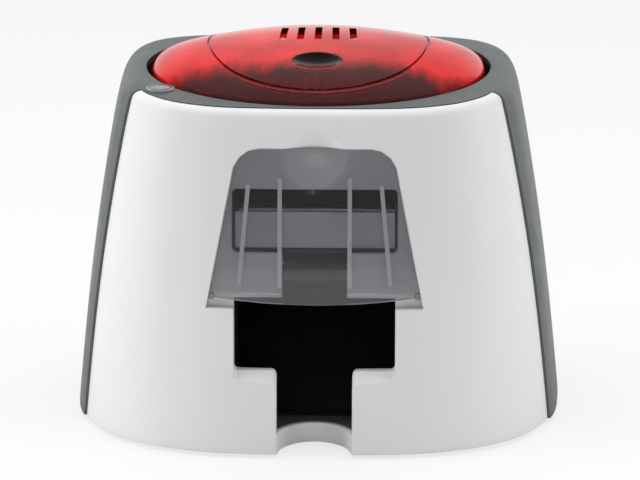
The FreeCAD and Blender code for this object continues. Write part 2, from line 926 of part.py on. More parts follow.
def make_well_liner():
    liner = opening_slab(liner_wall, liner_floor_z, top_z)
    liner = liner.cut(opening_slab(0.0, liner_floor_z + liner_floor, top_z))
    liner = liner.common(inner_form).cut(button_tube(slack))
    bay_rear_y = lid_rear_y - bay_rear_gap
    bay = box(-bay_half_width, bay_half_width, takeup_y - bay_front_reach, bay_rear_y, -overrun, top_z)
    liner = liner.cut(fillet_along(bay, Z_AXIS, bay_corner, anywhere))
    hinge_half = knuckle_x + knuckle_width + hinge_boss_width
    liner = liner.cut(box(-hinge_half, hinge_half, bay_rear_y, far_y, lid_hinge_z - liner_rear_drop, top_z))
    return largest(liner)


# Lid
def lid_curve(share, inset, height):
    def z_of(y):
        return deck_z(y) + height
    return closed_curve(half_ellipse_points((lid_half_width - inset) * share,
                                            (lid_front_reach - inset) * share,
                                            (lid_rear_reach - inset) * share, z_of))


def dome_form(inset, reach_down):
    """Lid dome moved in by inset, its skirt carried down by reach_down."""
    rows = [lid_curve(1.0, inset, -reach_down), lid_curve(1.0, inset, -reach_down / 2),
            lid_curve(1.0, inset, 0.0)]
    for share in lid_ring_shares[1:]:
        rows.append(lid_curve(share, inset, lid_rise * (1 - share ** 2) - inset))
    return skin_solid(rows)


def dome_z(x, y):
    """Height of the dome's outer skin."""
    reach = lid_front_reach if y < lid_centre_y else lid_rear_reach
    radius = (x / lid_half_width) ** 2 + ((y - lid_centre_y) / reach) ** 2
    return deck_z(y) + lid_rise * (1 - radius)


def dimple_form(grow):
    """Lemon-shaped solid, long in x, whose side cuts the oval thumb dimple."""
    short = dish_sphere_radius(dimple_half_length, dimple_depth) + grow
    long = dish_sphere_radius(dimple_half_width, dimple_depth) + grow
    tip = sqrt(long ** 2 - (long - short) ** 2)
    arc = Part.Arc(Vec(-tip, 0, 0), Vec(0, short, 0), Vec(tip, 0, 0)).toShape()
    profile = Part.Face(Part.Wire([arc, Part.makeLine(Vec(tip, 0, 0), Vec(-tip, 0, 0))]))
    lemon = profile.revolve(Vec(0, 0, 0), X_AXIS, 360)
    slope = deck_slope - 2 * lid_rise * (dimple_y - lid_centre_y) / lid_front_reach ** 2
    lift = (short - grow - dimple_depth) / sqrt(1 + slope ** 2)
    lemon.translate(Vec(0, dimple_y - lift * slope, dome_z(0, dimple_y) + lift))
    return lemon


def vent_outline(place, grow):
    """Plan of one vent slot; the slots draw together towards the rear."""
    half = vent_width / 2 + grow
    front_x = place * vent_front_pitch
    rear_x = place * vent_rear_pitch
    return [(front_x - half, vent_front_y - grow), (front_x + half, vent_front_y - grow),
            (rear_x + half, vent_rear_y), (rear_x - half, vent_rear_y)]


def vent_floor():
    """Floor under the front of the slots, with a wall round it."""
    half = (vent_count - 1) / 2 * vent_front_pitch + vent_width / 2
    top = dome_z(0, vent_front_y) - lid_wall
    low = top - vent_floor_drop - vent_floor_wall
    return box(-half - vent_floor_wall, half + vent_floor_wall, vent_front_y - vent_floor_wall,
               vent_floor_rear_y, low,
               top_z)


def cut_vents(lid):
    """Slots over the floor; behind it each slot runs on under a thin edge."""
    floor_top = dome_z(0, vent_front_y) - lid_wall - vent_floor_drop
    for i in range(vent_count):
        place = i - (vent_count - 1) / 2
        lid = lid.cut(slab_z(vent_outline(place, 0.0), floor_top, top_z))
        half = vent_width / 2
        rear_x = place * vent_rear_pitch
        edge_z = dome_z(rear_x, vent_rear_y)
        end_y = vent_rear_y + vent_undercut
        end_z = dome_z(rear_x, end_y) - lid_wall
        under = [(vent_floor_rear_y, end_z - lid_wall), (vent_floor_rear_y, edge_z - slack),
                 (vent_rear_y, edge_z - slack),
                 (end_y, end_z), (end_y, end_z - lid_wall)]
        lid = lid.cut(slab_x(under, rear_x - half, rear_x + half))
    return lid


def lid_ribs(outer):
    """Three short ribs under the front of the dome, from the dimple to the step."""
    ribs = []
    deep = dome_form(lid_wall + lid_rib_depth, lid_skirt + overrun)
    for i in range(lid_rib_count):
        x = (i - (lid_rib_count - 1) / 2) * lid_rib_pitch
        rib = box(x - lid_rib_width / 2, x + lid_rib_width / 2, step_ring_y - step_ring_radius,
                  dimple_y - dimple_half_length, 0, top_z)
        ribs.append(outer.common(rib).cut(deep))
    return ribs


def make_lid():
    outer = dome_form(0.0, lid_skirt)
    inner = dome_form(lid_wall, lid_skirt + overrun)
    rear = box(-far_x, far_x, lid_rear_y, far_y, -overrun, top_z)
    rear_inside = box(-far_x, far_x, lid_rear_y - lid_wall, far_y, -overrun, top_z)
    outer = outer.cut(rear)
    lid = outer.cut(inner.cut(rear_inside))
    lid = join([lid, outer.common(dimple_form(lid_wall)), outer.common(vent_floor())] + lid_ribs(outer))
    lid = cut_vents(lid.cut(dimple_form(0.0)))
    ring = rod_z(step_ring_radius, -overrun, top_z, 0, step_ring_y)
    ring = ring.cut(rod_z(step_ring_radius - step_ring_width, -overrun, top_z, 0, step_ring_y))
    ring = ring.cut(dome_form(step_ring_depth, lid_skirt + overrun))
    lid = lid.cut(ring)
    rear_front_y = lid_rear_y - 4 * lid_wall
    trim = [(rear_front_y, -overrun), (rear_front_y, deck_z(rear_front_y) + slack * 2)]
    trim += [(far_y, deck_z(far_y) + slack * 2), (far_y, -overrun)]
    lid = lid.cut(slab_x(trim, -far_x, far_x))
    return largest(join([lid] + lid_knuckles()).cut(lid_pin_bore()))


def lid_knuckles():
    knuckles = []
    for x0, x1 in knuckle_spans():
        eye = rod_x(knuckle_radius, x0, x1, lid_hinge_y, lid_hinge_z)
        low = deck_z(lid_rear_y)
        front = lid_rear_y - lid_wall
        reach = knuckle_radius * knuckle_arm_share
        arm = [(front, low + slack * 2), (lid_rear_y, low + wall),
               (lid_hinge_y + reach, lid_hinge_z + reach),
               (lid_hinge_y - reach, lid_hinge_z - reach)]
        knuckles.append(eye.fuse(slab_x(arm, x0, x1)))
    return knuckles


def lid_pin_bore():
    return rod_x(lid_pin_radius + running, -far_x, far_x, lid_hinge_y, lid_hinge_z)


# Lid tongue and its switch
tongue_x = 44.2
tongue_width = 3.2
tongue_reach = 18.0
tongue_front_y = feed_y + tongue_reach
tongue_wall = 2.5
switch_inset = 3.0
switch_length = 8.0
switch_front_y = tongue_front_y - switch_inset
switch_rear_y = switch_front_y + switch_length
switch_height = 8.0
switch_width = 5.7
hopper_height = 37.0
hopper_top_z = path_z + hopper_height


def make_lid_tongue():
    bottom = hopper_top_z + switch_height + slack
    tongue = box(tongue_x, tongue_x + tongue_width, tongue_front_y, tongue_front_y + tongue_wall, bottom,
                 top_z)
    return largest(tongue.common(dome_form(lid_wall, lid_skirt + overrun)))


def make_lid_switch():
    return box(hopper_half, hopper_half + switch_width, switch_front_y, switch_rear_y, hopper_top_z,
               hopper_top_z + switch_height)


# Print head, carried by the lid
head_front_reach = 5.0
head_depth = 12.0
head_rise = 1.1
head_front_y = platen_y - head_front_reach
head_rear_y = head_front_y + head_depth
head_bottom_z = path_z + head_rise
head_bar = 4.0
head_half = roller_half_length
cooler_height = 12.9
cooler_top_z = head_bottom_z + cooler_height
cooler_wall = 3.0
fin_count = 9
fin_wall = 1.4
carrier_half = 40.0
carrier_arm_width = 11.0
carrier_height = 23.0
carrier_mid_reach = 17.0
carrier_top_reach = 20.0
carrier_block_top_z = cooler_top_z + carrier_height
carrier_mid_rear_y = platen_y + carrier_mid_reach
carrier_top_rear_y = platen_y + carrier_top_reach
carrier_wall = 2.5


def make_print_head():
    profile = [(head_front_y, head_bottom_z + head_bar / 4), (head_front_y + head_bar / 4, head_bottom_z),
               (head_rear_y, head_bottom_z), (head_rear_y, head_bottom_z + head_bar),
               (head_front_y, head_bottom_z + head_bar)]
    return slab_x(profile, -head_half, head_half)


def make_head_cooler():
    base = head_bottom_z + head_bar
    plate = box(-head_half, head_half, head_front_y, head_rear_y, base, base + cooler_wall)
    fins = []
    pitch = (2 * head_half - fin_wall) / (fin_count - 1)
    for i in range(fin_count):
        x = -head_half + i * pitch
        fins.append(box(x, x + fin_wall, head_front_y, head_rear_y, base + cooler_wall, cooler_top_z))
    return join([plate] + fins)


def make_head_carrier():
    block = [(head_front_y, cooler_top_z), (head_rear_y, cooler_top_z),
             (carrier_mid_rear_y, carrier_block_top_z),
             (head_front_y, carrier_block_top_z)]
    solid = slab_x(block, -carrier_half, carrier_half)
    pocket = [(head_front_y + carrier_wall, cooler_top_z + carrier_wall),
              (head_rear_y, cooler_top_z + carrier_wall), (carrier_mid_rear_y - carrier_wall,
                                                           carrier_block_top_z),
              (carrier_mid_rear_y, top_z), (head_front_y + carrier_wall, top_z)]
    solid = solid.cut(slab_x(pocket, -carrier_half + carrier_wall, carrier_half - carrier_wall))
    arm = [(head_front_y, carrier_block_top_z), (carrier_mid_rear_y, carrier_block_top_z),
           (carrier_top_rear_y, top_z),
           (head_front_y, top_z)]
    arms = [slab_x(arm, carrier_half - carrier_arm_width, carrier_half),
            slab_x(arm, -carrier_half, carrier_arm_width - carrier_half)]
    inner = dome_form(lid_wall, lid_skirt + overrun)
    below = box(-far_x, far_x, -far_y, far_y, -overrun, carrier_block_top_z + cooler_wall)
    solid = join([solid] + arms)
    return largest(join([solid.common(inner), solid.common(below)]))


# Feeder cover
def surface_form(depth, reach_down=0.0):
    return body_form(seam_step + depth, deck_step + depth, reach_down)


def pivot_y():
    return wall_y(cover_bottom_half_width, cover_pivot_z, -1, seam_step) + cover_pin_inset


def make_feeder_cover():
    skin = surface_form(cover_depth).cut(surface_form(cover_depth + cover_wall, overrun))
    outline = cover_outline(0.0, cover_bottom_z)
    bow = []
    steps = outline_points // 4
    low_half = outline[0][0]
    for i in range(1, steps):
        x = low_half * (2 * i / steps - 1)
        bow.append((x, cover_bottom_z - cover_bow * (1 - (x / low_half) ** 2)))
    cover = skin.common(slab_y(outline + bow, -far_y, 0))
    ears = []
    for side in (-1, 1):
        x0 = cover_bottom_half_width - cover_pin_reach
        ear = rod_x(cover_ear_radius, x0, cover_bottom_half_width, pivot_y(), cover_pivot_z)
        web = box(x0, cover_bottom_half_width, pivot_y() - cover_pin_inset + cover_depth + cover_wall / 2,
                  pivot_y(),
                  cover_pivot_z - cover_pin_radius, cover_pivot_z + cover_wall)
        pin = rod_x(cover_pin_radius, x0, cover_bottom_half_width + cover_gap + cover_pin_reach, pivot_y(),
                    cover_pivot_z)
        ear = ear.fuse(web).fuse(pin)
        if side < 0:
            ear = ear.mirror(Vec(0, 0, 0), X_AXIS)
        ears.append(ear)
    return largest(join([cover] + ears))


def front_trim():
    """Bores in the recess sides for the pins of the cover."""
    reach = cover_bottom_half_width + cover_gap + cover_pin_reach + slack
    return rod_x(cover_pin_radius + running, -reach, reach, pivot_y(), cover_pivot_z)


# Card hopper and pressure plate
hopper_play = 0.6
hopper_half = card_half + hopper_play
hopper_depth = 23.0
hopper_bottom_z = path_z - hopper_depth
hopper_gap = 0.8
hopper_hole_gap = 0.6
hopper_floor_drop = 0.6
hopper_floor = 2.0
hopper_floor_top_z = path_z - hopper_floor_drop
hopper_floor_z = hopper_floor_top_z - hopper_floor
hopper_level_shares = (0.0, 0.25, 0.5, 0.75, 1.0)
hopper_reach = 33.6
hopper_rear_y = feed_y + hopper_reach
gate_reach = 39.8
gate_wall = 2.0
gate_rise = 9.0
gate_height = 8.5
gate_front_y = feed_y + gate_reach
gate_rear_y = gate_front_y + gate_wall
gate_bottom_z = path_z + gate_rise
gate_top_z = gate_bottom_z + gate_height
feed_opening_margin = 1.2
feed_opening_half = feed_half_length + feed_opening_margin
feed_opening_gap = 1.0
pusher_inset = 0.2
pusher_half = card_half + pusher_inset
pusher_height = 20.0
pusher_length = 40.0
pusher_top_z = path_z + pusher_height
pusher_front_y = gate_front_y + pusher_inset - card_short
pusher_rear_y = pusher_front_y + pusher_length
pusher_wall = 1.8
pusher_rib_count = 5


def hopper_front(z):
    return wall_y(hopper_half + hopper_wall, z, -1, recess_depth + recess_floor) + hopper_gap


def make_card_hopper():
    levels = [hopper_bottom_z + share * (hopper_top_z - hopper_bottom_z) for share in hopper_level_shares]
    front = [(hopper_front(z), z) for z in levels]
    side = front + [(gate_front_y - hopper_wall, hopper_top_z), (gate_rear_y, gate_top_z)]
    side += [(gate_rear_y, path_z), (hopper_rear_y, path_z), (hopper_rear_y, hopper_bottom_z)]
    walls = [slab_x(side, hopper_half, hopper_half + hopper_wall)]
    walls.append(walls[0].mirror(Vec(0, 0, 0), X_AXIS))
    floor = box(-hopper_half, hopper_half, hopper_front(hopper_floor_z), hopper_rear_y, hopper_floor_z,
                hopper_floor_top_z)
    reach = feed_radius + feed_opening_gap
    floor = floor.cut(box(-feed_opening_half, feed_opening_half, feed_y - reach, feed_y + reach, 0, top_z))
    gate = box(-hopper_half, hopper_half, gate_front_y, gate_rear_y, gate_bottom_z, gate_top_z)
    hopper = join(walls + [floor, gate])
    hopper = hopper.cut(rod_x(shaft_radius + hopper_hole_gap, -far_x, far_x, feed_y, feed_z))
    tie_y, tie_z = tie_places()[0]
    return hopper.cut(rod_x(tie_radius + running, -far_x, far_x, tie_y, tie_z))


def make_pressure_plate():
    front = box(-pusher_half, pusher_half, pusher_front_y, pusher_front_y + pusher_wall, path_z,
                pusher_top_z)
    foot = box(-pusher_half, pusher_half, pusher_front_y, pusher_rear_y, path_z, path_z + pusher_wall)
    ribs = []
    pitch = (2 * pusher_half - pusher_wall) / (pusher_rib_count - 1)
    for i in range(pusher_rib_count):
        x = -pusher_half + i * pitch
        rib = [(pusher_front_y, path_z), (pusher_rear_y, path_z), (pusher_rear_y, path_z + 2 * pusher_wall),
               (pusher_front_y + pusher_wall, pusher_top_z), (pusher_front_y, pusher_top_z)]
        ribs.append(slab_x(rib, x, x + pusher_wall))
    return join([front, foot] + ribs)


# Card guide between the rollers
guide_side_gap = 0.5
guide_front_reach = 11.0
guide_rear_reach = 9.0
guide_half = plate_x - guide_side_gap
guide_front_y = entry_y - guide_front_reach
guide_rear_y = exit_y + guide_rear_reach
guide_floor = 2.0
guide_roller_gap = 0.6
guide_end_gap = 0.8


def make_card_guide():
    guide = box(-guide_half, guide_half, guide_front_y, guide_rear_y, hopper_floor_top_z - guide_floor,
                hopper_floor_top_z)
    half = roller_half_length + guide_end_gap
    for y, radius in ((entry_y, entry_radius), (platen_y, platen_radius), (exit_y, exit_radius)):
        reach = radius + guide_roller_gap
        guide = guide.cut(box(-half, half, y - reach, y + reach, 0, top_z))
    return guide


# Frame plates with their tie bars and gear studs
plate_front_gap = 2.0
plate_level_shares = (0.0, 0.5, 0.9)
ear_rise = 8.0
ear_front_reach = 17.0
ear_corner_reach = 11.0
ear_rear_reach = 12.0
ear_slope = 4.0
supply_ear_rise = 14.0
supply_ear_slope = 6.0
saddle_rise = 25.0
plate_hip_drop = 33.0
plate_hip_height = 20.0
plate_foot_front_y = -60.0
plate_foot_rear_y = 60.0
window_foot = 13.0
front_window_y = -36.0
front_window_length = 28.0
front_window_height = 20.0
rear_window_y = 14.0
rear_window_length = 32.0
rear_window_top_length = 24.0
rear_window_height = 44.0
tie_neck_radius = 2.0
feed_tie_reach = 22.0
feed_tie_drop = 14.0
board_tie_gap = 10.0
board_tie_rise = 19.0
bin_tie_rise = 41.0
supply_tie_reach = 4.0
supply_tie_rise = 12.0
stud_collar_radius = 4.0
stud_collar = 1.6
shaft_end = 61.0


def tie_places():
    return [(feed_y + feed_tie_reach, path_z - feed_tie_drop),
            (board_front_y - board_tie_gap, tray_top_z + board_tie_rise),
            (supply_y, tray_top_z + bin_tie_rise), (supply_y + supply_tie_reach, path_z + supply_tie_rise)]


def plate_outline():
    """Side view of a frame plate, from its lower front corner round by the two spool ears."""
    points = []
    for share in plate_level_shares:
        z = hopper_bottom_z + share * (hopper_top_z - hopper_bottom_z)
        points.append((wall_y(plate_x + plate_wall, z, -1, recess_depth + recess_floor) + plate_front_gap,
                       z))
    points += [(takeup_y - ear_front_reach, takeup_z - ear_rise),
               (takeup_y - ear_corner_reach, takeup_z + ear_rise),
               (takeup_y + ear_rear_reach, takeup_z + ear_rise)]
    points += [(takeup_y + ear_rear_reach + ear_slope, path_z + saddle_rise),
               (supply_y - ear_rear_reach, path_z + saddle_rise)]
    points += [(supply_y - ear_rear_reach + supply_ear_slope, supply_z + supply_ear_rise),
               (supply_y + ear_rear_reach, supply_z + supply_ear_rise)]
    rear = supply_y + ear_rear_reach + supply_ear_slope
    hip_z = path_z - plate_hip_drop
    points += [(rear, supply_z), (rear, hip_z), (rear - supply_ear_slope, hip_z - plate_hip_height)]
    return points + [(plate_foot_rear_y, tray_top_z), (plate_foot_front_y, tray_top_z)]


def plate_windows():
    low = tray_top_z + window_foot
    front = [(front_window_y, low), (front_window_y + front_window_length, low),
             (front_window_y + front_window_length, low + front_window_height), (front_window_y,
                                                                                 low + front_window_height)]
    rear = [(rear_window_y, low), (rear_window_y + rear_window_length, low),
            (rear_window_y + rear_window_top_length, low + rear_window_height), (rear_window_y,
                                                                                 low + rear_window_height)]
    return [front, rear]


def make_frame_plate():
    plate = slab_x(plate_outline(), plate_x, plate_x + plate_wall)
    for window in plate_windows():
        plate = plate.cut(slab_x(window, 0, far_x))
    for y, z in roller_axes():
        plate = plate.cut(rod_x(bush_radius, 0, far_x, y, z))
    for y, z in pinch_axes():
        plate = plate.cut(rod_x(pinch_shaft_radius + running, 0, far_x, y, z))
    for y, z in spindle_axes():
        plate = plate.cut(rod_x(spindle_radius + running, 0, far_x, y, z))
    for y, z in tie_places():
        plate = plate.cut(rod_x(tie_neck_radius, 0, far_x, y, z))
    return plate


def roller_axes():
    return [(feed_y, feed_z), (entry_y, entry_z), (platen_y, platen_z), (exit_y, exit_z)]


def pinch_axes():
    return [(entry_y, pinch_z), (exit_y, pinch_z)]


def spindle_axes():
    return [(takeup_y, takeup_z), (supply_y, supply_z)]


def make_right_frame_plate():
    plate = make_frame_plate()
    studs = []
    for y, z in (feed_idler_axis(), entry_idler_axis(), exit_idler_axis()):
        studs.append(rod_x(stud_radius, plate_x + plate_wall, shaft_end, y, z))
        studs.append(rod_x(stud_collar_radius, plate_x + plate_wall, plate_x + plate_wall + stud_collar, y,
                           z))
    return join([plate] + studs)


def make_left_frame_plate():
    return make_frame_plate().mirror(Vec(0, 0, 0), X_AXIS)


def make_tie_bars():
    bars = []
    end = plate_x + plate_wall
    for y, z in tie_places():
        bars.append(rod_x(tie_radius, -plate_x, plate_x, y, z).fuse(rod_x(tie_neck_radius, -end, end, y, z)))
    return Part.makeCompound(bars)


def make_roller_bushes():
    bushes = []
    for y, z in roller_axes():
        bush = rod_x(bush_radius, plate_x, plate_x + plate_wall, y, z)
        flange = rod_x(bush_flange_radius, plate_x + plate_wall, plate_x + plate_wall + bush_flange, y, z)
        bush = bush.fuse(flange).cut(rod_x(shaft_radius + running, 0, far_x, y, z))
        bushes += [bush, bush.mirror(Vec(0, 0, 0), X_AXIS)]
    return Part.makeCompound(bushes)


# Gears
addendum_share = 0.9
dedendum_share = 1.15
tip_share = 0.22
root_share = 0.6
gear_x = plate_x + plate_wall + gear_offset - slack


def apex_below(a, b, reach_a, reach_b):
    """Point under the line a to b, reach_a from a and reach_b from b."""
    span = hypot(b[0] - a[0], b[1] - a[1])
    along = (reach_a ** 2 - reach_b ** 2 + span ** 2) / (2 * span)
    down = sqrt(reach_a ** 2 - along ** 2)
    uy = (b[0] - a[0]) / span
    uz = (b[1] - a[1]) / span
    return a[0] + uy * along + uz * down, a[1] + uz * along - uy * down


def gear_distance(teeth_a, teeth_b):
    return module * (teeth_a + teeth_b) / 2


def feed_idler_axis():
    return apex_below((feed_y, feed_z), (entry_y, entry_z), gear_distance(feed_teeth, idler_teeth),
                      gear_distance(idler_teeth, roller_teeth))


def entry_idler_axis():
    reach = gear_distance(roller_teeth, roller_teeth)
    return apex_below((entry_y, entry_z), (platen_y, platen_z), reach, reach)


def exit_idler_axis():
    reach = gear_distance(roller_teeth, roller_teeth)
    return apex_below((platen_y, platen_z), (exit_y, exit_z), reach, reach)


def pinion_axis():
    y, z = feed_idler_axis()
    return y, z - gear_distance(idler_teeth, pinion_teeth)


def ribbon_pinion_axis():
    reach = gear_distance(takeup_teeth, pinion_teeth)
    turn = radians(-ribbon_pinion_turn)
    return takeup_y + reach * cos(turn), takeup_z + reach * sin(turn)


def gear(teeth, first_tooth, axis, bore):
    """Spur gear from gear_x outwards, with the middle of one tooth at angle first_tooth."""
    pitch_radius = module * teeth / 2
    tip = pitch_radius + addendum_share * module
    root = pitch_radius - dedendum_share * module
    pitch = 2 * pi / teeth
    points = []
    for i in range(teeth):
        middle = first_tooth + i * pitch
        for radius, turn in ((root, -root_share / 2), (pitch_radius, -tooth_share / 2),
                             (tip, -tip_share / 2),
                             (tip, tip_share / 2), (pitch_radius, tooth_share / 2), (root, root_share / 2)):
            angle = middle + turn * pitch
            points.append((axis[0] + radius * cos(angle), axis[1] + radius * sin(angle)))
    wheel = slab_x(points, gear_x, gear_x + gear_width)
    return wheel.cut(rod_x(bore, 0, far_x, axis[0], axis[1]))


def meshed(first, first_teeth, first_tooth, second, second_teeth):
    """Angle of a tooth of the second gear when it sits in mesh with the first."""
    line = atan2(second[1] - first[1], second[0] - first[0])
    gap = line + pi + first_teeth / second_teeth * (line - first_tooth)
    return gap + pi / second_teeth


def train_angles():
    """Tooth angles of the whole roller train, starting from the platen."""
    platen = (platen_y, platen_z)
    entry = (entry_y, entry_z)
    turns = {"platen": 0.0}
    turns["entry_idler"] = meshed(platen, roller_teeth, turns["platen"], entry_idler_axis(), roller_teeth)
    turns["entry"] = meshed(entry_idler_axis(), roller_teeth, turns["entry_idler"], entry, roller_teeth)
    turns["feed_idler"] = meshed(entry, roller_teeth, turns["entry"], feed_idler_axis(), idler_teeth)
    turns["feed"] = meshed(feed_idler_axis(), idler_teeth, turns["feed_idler"], (feed_y, feed_z), feed_teeth)
    turns["pinion"] = meshed(feed_idler_axis(), idler_teeth, turns["feed_idler"], pinion_axis(),
                             pinion_teeth)
    turns["exit_idler"] = meshed(platen, roller_teeth, turns["platen"], exit_idler_axis(), roller_teeth)
    turns["exit"] = meshed(exit_idler_axis(), roller_teeth, turns["exit_idler"], (exit_y, exit_z),
                           roller_teeth)
    return turns


# Rollers
shaft_left_end = 53.2


def roller_sleeve(radius, half_length, y, z):
    return tube_x(radius, shaft_radius, -half_length, half_length, y, z)


def roller_shaft(y, z):
    return rod_x(shaft_radius, -shaft_left_end, shaft_end, y, z)


# Motors
ribbon_pinion_turn = 60.0
motor_size = 42.0
motor_length = 32.0
motor_corner = 4.0
motor_cap = 7.0
motor_cap_inset = 0.6
motor_boss_radius = 11.0
motor_shaft_radius = 2.5
motor_shaft_depth = 5.0
bracket_x = 62.0
bracket_wall = 2.0
bracket_margin = 2.0
bracket_rise = 22.5
standoff_radius = 3.0
standoff_half = 21.0
standoff_drop = 20.5
standoff_rise = 7.5
ribbon_motor_radius = 12.0
ribbon_motor_gap = 11.3
ribbon_boss_radius = 4.0
ribbon_foot_reach = 25.5
ribbon_foot_drop = 9.5
ribbon_foot_height = 10.0
ribbon_sole_reach = 9.5
ribbon_sole_drop = 18.5
ribbon_plate_reach = 13.0
ribbon_plate_rise = 12.5
ribbon_post_reach = 19.5
ribbon_post_drop = 5.5
ribbon_low_post_reach = 5.5
ribbon_low_post_drop = 13.5


def make_motor_bracket():
    y, z = pinion_axis()
    reach = motor_size / 2 + bracket_margin
    plate = box(bracket_x, bracket_x + bracket_wall, y - reach, y + reach, z - reach, z + bracket_rise)
    plate = plate.cut(rod_x(motor_boss_radius, 0, far_x, y, z))
    posts = []
    for post_y in (y - standoff_half, y + standoff_half):
        for post_z in (z - standoff_drop, z + standoff_rise):
            posts.append(rod_x(standoff_radius, plate_x + plate_wall, bracket_x, post_y, post_z))
    return join([plate] + posts)


def make_drive_motor():
    y, z = pinion_axis()
    half = motor_size / 2
    x0 = bracket_x + bracket_wall
    x1 = x0 + motor_length
    ends = box(x0, x1, y - half, y + half, z - half, z + half)
    ends = fillet_along(ends, X_AXIS, motor_corner, anywhere)
    inset = half - motor_cap_inset
    middle = box(x0 + motor_cap, x1 - motor_cap, y - inset, y + inset, z - inset, z + inset)
    band = box(x0 + motor_cap, x1 - motor_cap, y - half, y + half, z - half, z + half)
    body = join([ends.cut(band), ends.common(middle)])
    body = body.fuse(rod_x(motor_boss_radius, bracket_x, x0, y, z))
    return body.cut(rod_x(motor_shaft_radius + running, 0, x0 + motor_shaft_depth, y, z))


def pinion_with_shaft(teeth, first_tooth, axis):
    wheel = gear(teeth, first_tooth, axis, motor_shaft_radius)
    shaft = rod_x(motor_shaft_radius, gear_x, bracket_x + bracket_wall + motor_shaft_depth - slack, axis[0],
                  axis[1])
    return wheel.fuse(shaft)


def make_ribbon_motor_bracket():
    y, z = ribbon_pinion_axis()
    outline = [(y - ribbon_foot_reach, z - ribbon_foot_drop), (y - ribbon_sole_reach, z - ribbon_sole_drop),
               (y + ribbon_plate_reach, z - ribbon_sole_drop), (y + ribbon_plate_reach,
                                                                z + ribbon_plate_rise),
               (y, z + ribbon_plate_rise), (y - ribbon_foot_reach,
                                            z - ribbon_foot_drop + ribbon_foot_height)]
    plate = slab_x(outline, -bracket_x - bracket_wall, -bracket_x)
    plate = plate.cut(rod_x(ribbon_boss_radius, -far_x, 0, y, z))
    places = [(y - ribbon_post_reach, z - ribbon_post_drop), (y - ribbon_low_post_reach,
                                                              z - ribbon_low_post_drop)]
    posts = [rod_x(standoff_radius, -bracket_x, -plate_x - plate_wall, py, pz) for py, pz in places]
    return join([plate] + posts)


def side_x(y, z, inset):
    """Half width of the body form, moved in by inset, at y and z."""
    half_width, front, rear = reaches(z)
    power = outline_power(z)
    reach = (front if y < widest_y else rear) - inset
    return (half_width - inset) * (1 - (abs(y - widest_y) / reach) ** power) ** (1 / power)


def make_ribbon_motor():
    y, z = ribbon_pinion_axis()
    x0 = -bracket_x - bracket_wall
    can = rod_x(ribbon_motor_radius, ribbon_motor_gap - side_x(y, z, wall), x0, y, z)
    boss = rod_x(ribbon_boss_radius, x0, -bracket_x, y, z)
    bore = rod_x(motor_shaft_radius + running, x0 - motor_shaft_depth, 0, y, z)
    return can.fuse(boss).cut(bore)


# Ribbon cassette
film = 0.3
film_gap = 0.3
film_head_margin = 2.0
film_head_front_y = head_front_y - film_head_margin
film_head_rear_y = head_rear_y + film_head_margin
core_half_length = card_half + mouth_margin
spindle_end = 53.2
arc_steps = 3


def core_with_spindle(y, z, end):
    return rod_x(core_radius, -core_half_length, core_half_length, y, z).fuse(rod_x(spindle_radius, -end,
                                                                                    spindle_end, y, z))


def wound_film(radius, y, z):
    return tube_x(radius, core_radius, -ribbon_half_width, ribbon_half_width, y, z)


def crossing_tangent(a, radius_a, b, radius_b, side):
    """Ends of the line that touches circle a on one side and circle b on the other."""
    span = hypot(b[0] - a[0], b[1] - a[1])
    line = atan2(b[1] - a[1], b[0] - a[0])
    turn = line + side * (pi / 2 - asin((radius_a + radius_b) / span))
    return ((a[0] + radius_a * cos(turn), a[1] + radius_a * sin(turn)),
            (b[0] - radius_b * cos(turn), b[1] - radius_b * sin(turn)))


def touch_point(point, centre, radius, side):
    """Where a line from point touches the circle."""
    span = hypot(point[0] - centre[0], point[1] - centre[1])
    line = atan2(point[1] - centre[1], point[0] - centre[0])
    turn = line + side * (pi / 2 - asin(radius / span))
    return centre[0] + radius * cos(turn), centre[1] + radius * sin(turn)


def arc_between(centre, radius, start, end):
    a = atan2(start[1] - centre[1], start[0] - centre[0])
    b = atan2(end[1] - centre[1], end[0] - centre[0])
    if b - a > pi:
        b -= 2 * pi
    if a - b > pi:
        b += 2 * pi
    points = []
    for i in range(arc_steps + 1):
        turn = a + (b - a) * i / arc_steps
        points.append((centre[0] + radius * cos(turn), centre[1] + radius * sin(turn)))
    return points


def ribbon_line():
    """Side view of the film's middle line, from the take-up roll to the supply roll."""
    reach = film_gap + film / 2
    level = head_bottom_z - film_gap - film / 2
    takeup = (takeup_y, takeup_z)
    supply = (supply_y, supply_z)
    front_bar = (front_bar_y, front_bar_z)
    rear_bar = (rear_bar_y, rear_bar_z)
    bar = guide_bar_radius + reach
    start, front_in = crossing_tangent(takeup, takeup_radius + reach, front_bar, bar, 1)
    front_out = touch_point((film_head_front_y, level), front_bar, bar, -1)
    rear_in = touch_point((film_head_rear_y, level), rear_bar, bar, 1)
    rear_out, end = crossing_tangent(rear_bar, bar, supply, supply_radius + reach, -1)
    line = [start] + arc_between(front_bar, bar, front_in, front_out)
    line += [(film_head_front_y, level), (film_head_rear_y, level)]
    return line + arc_between(rear_bar, bar, rear_in, rear_out) + [end]


def make_ribbon_web():
    line = ribbon_line()
    upper = []
    lower = []
    for i, (y, z) in enumerate(line):
        before = line[max(i - 1, 0)]
        after = line[min(i + 1, len(line) - 1)]
        length = hypot(after[0] - before[0], after[1] - before[1])
        ny = -(after[1] - before[1]) / length
        nz = (after[0] - before[0]) / length
        upper.append((y + ny * film / 2, z + nz * film / 2))
        lower.append((y - ny * film / 2, z - nz * film / 2))
    return slab_x(upper + lower[::-1], -ribbon_half_width, ribbon_half_width)


def make_guide_bars():
    return Part.makeCompound([rod_x(guide_bar_radius, -plate_x, plate_x, front_bar_y, front_bar_z),
                              rod_x(guide_bar_radius, -plate_x, plate_x, rear_bar_y, rear_bar_z)])


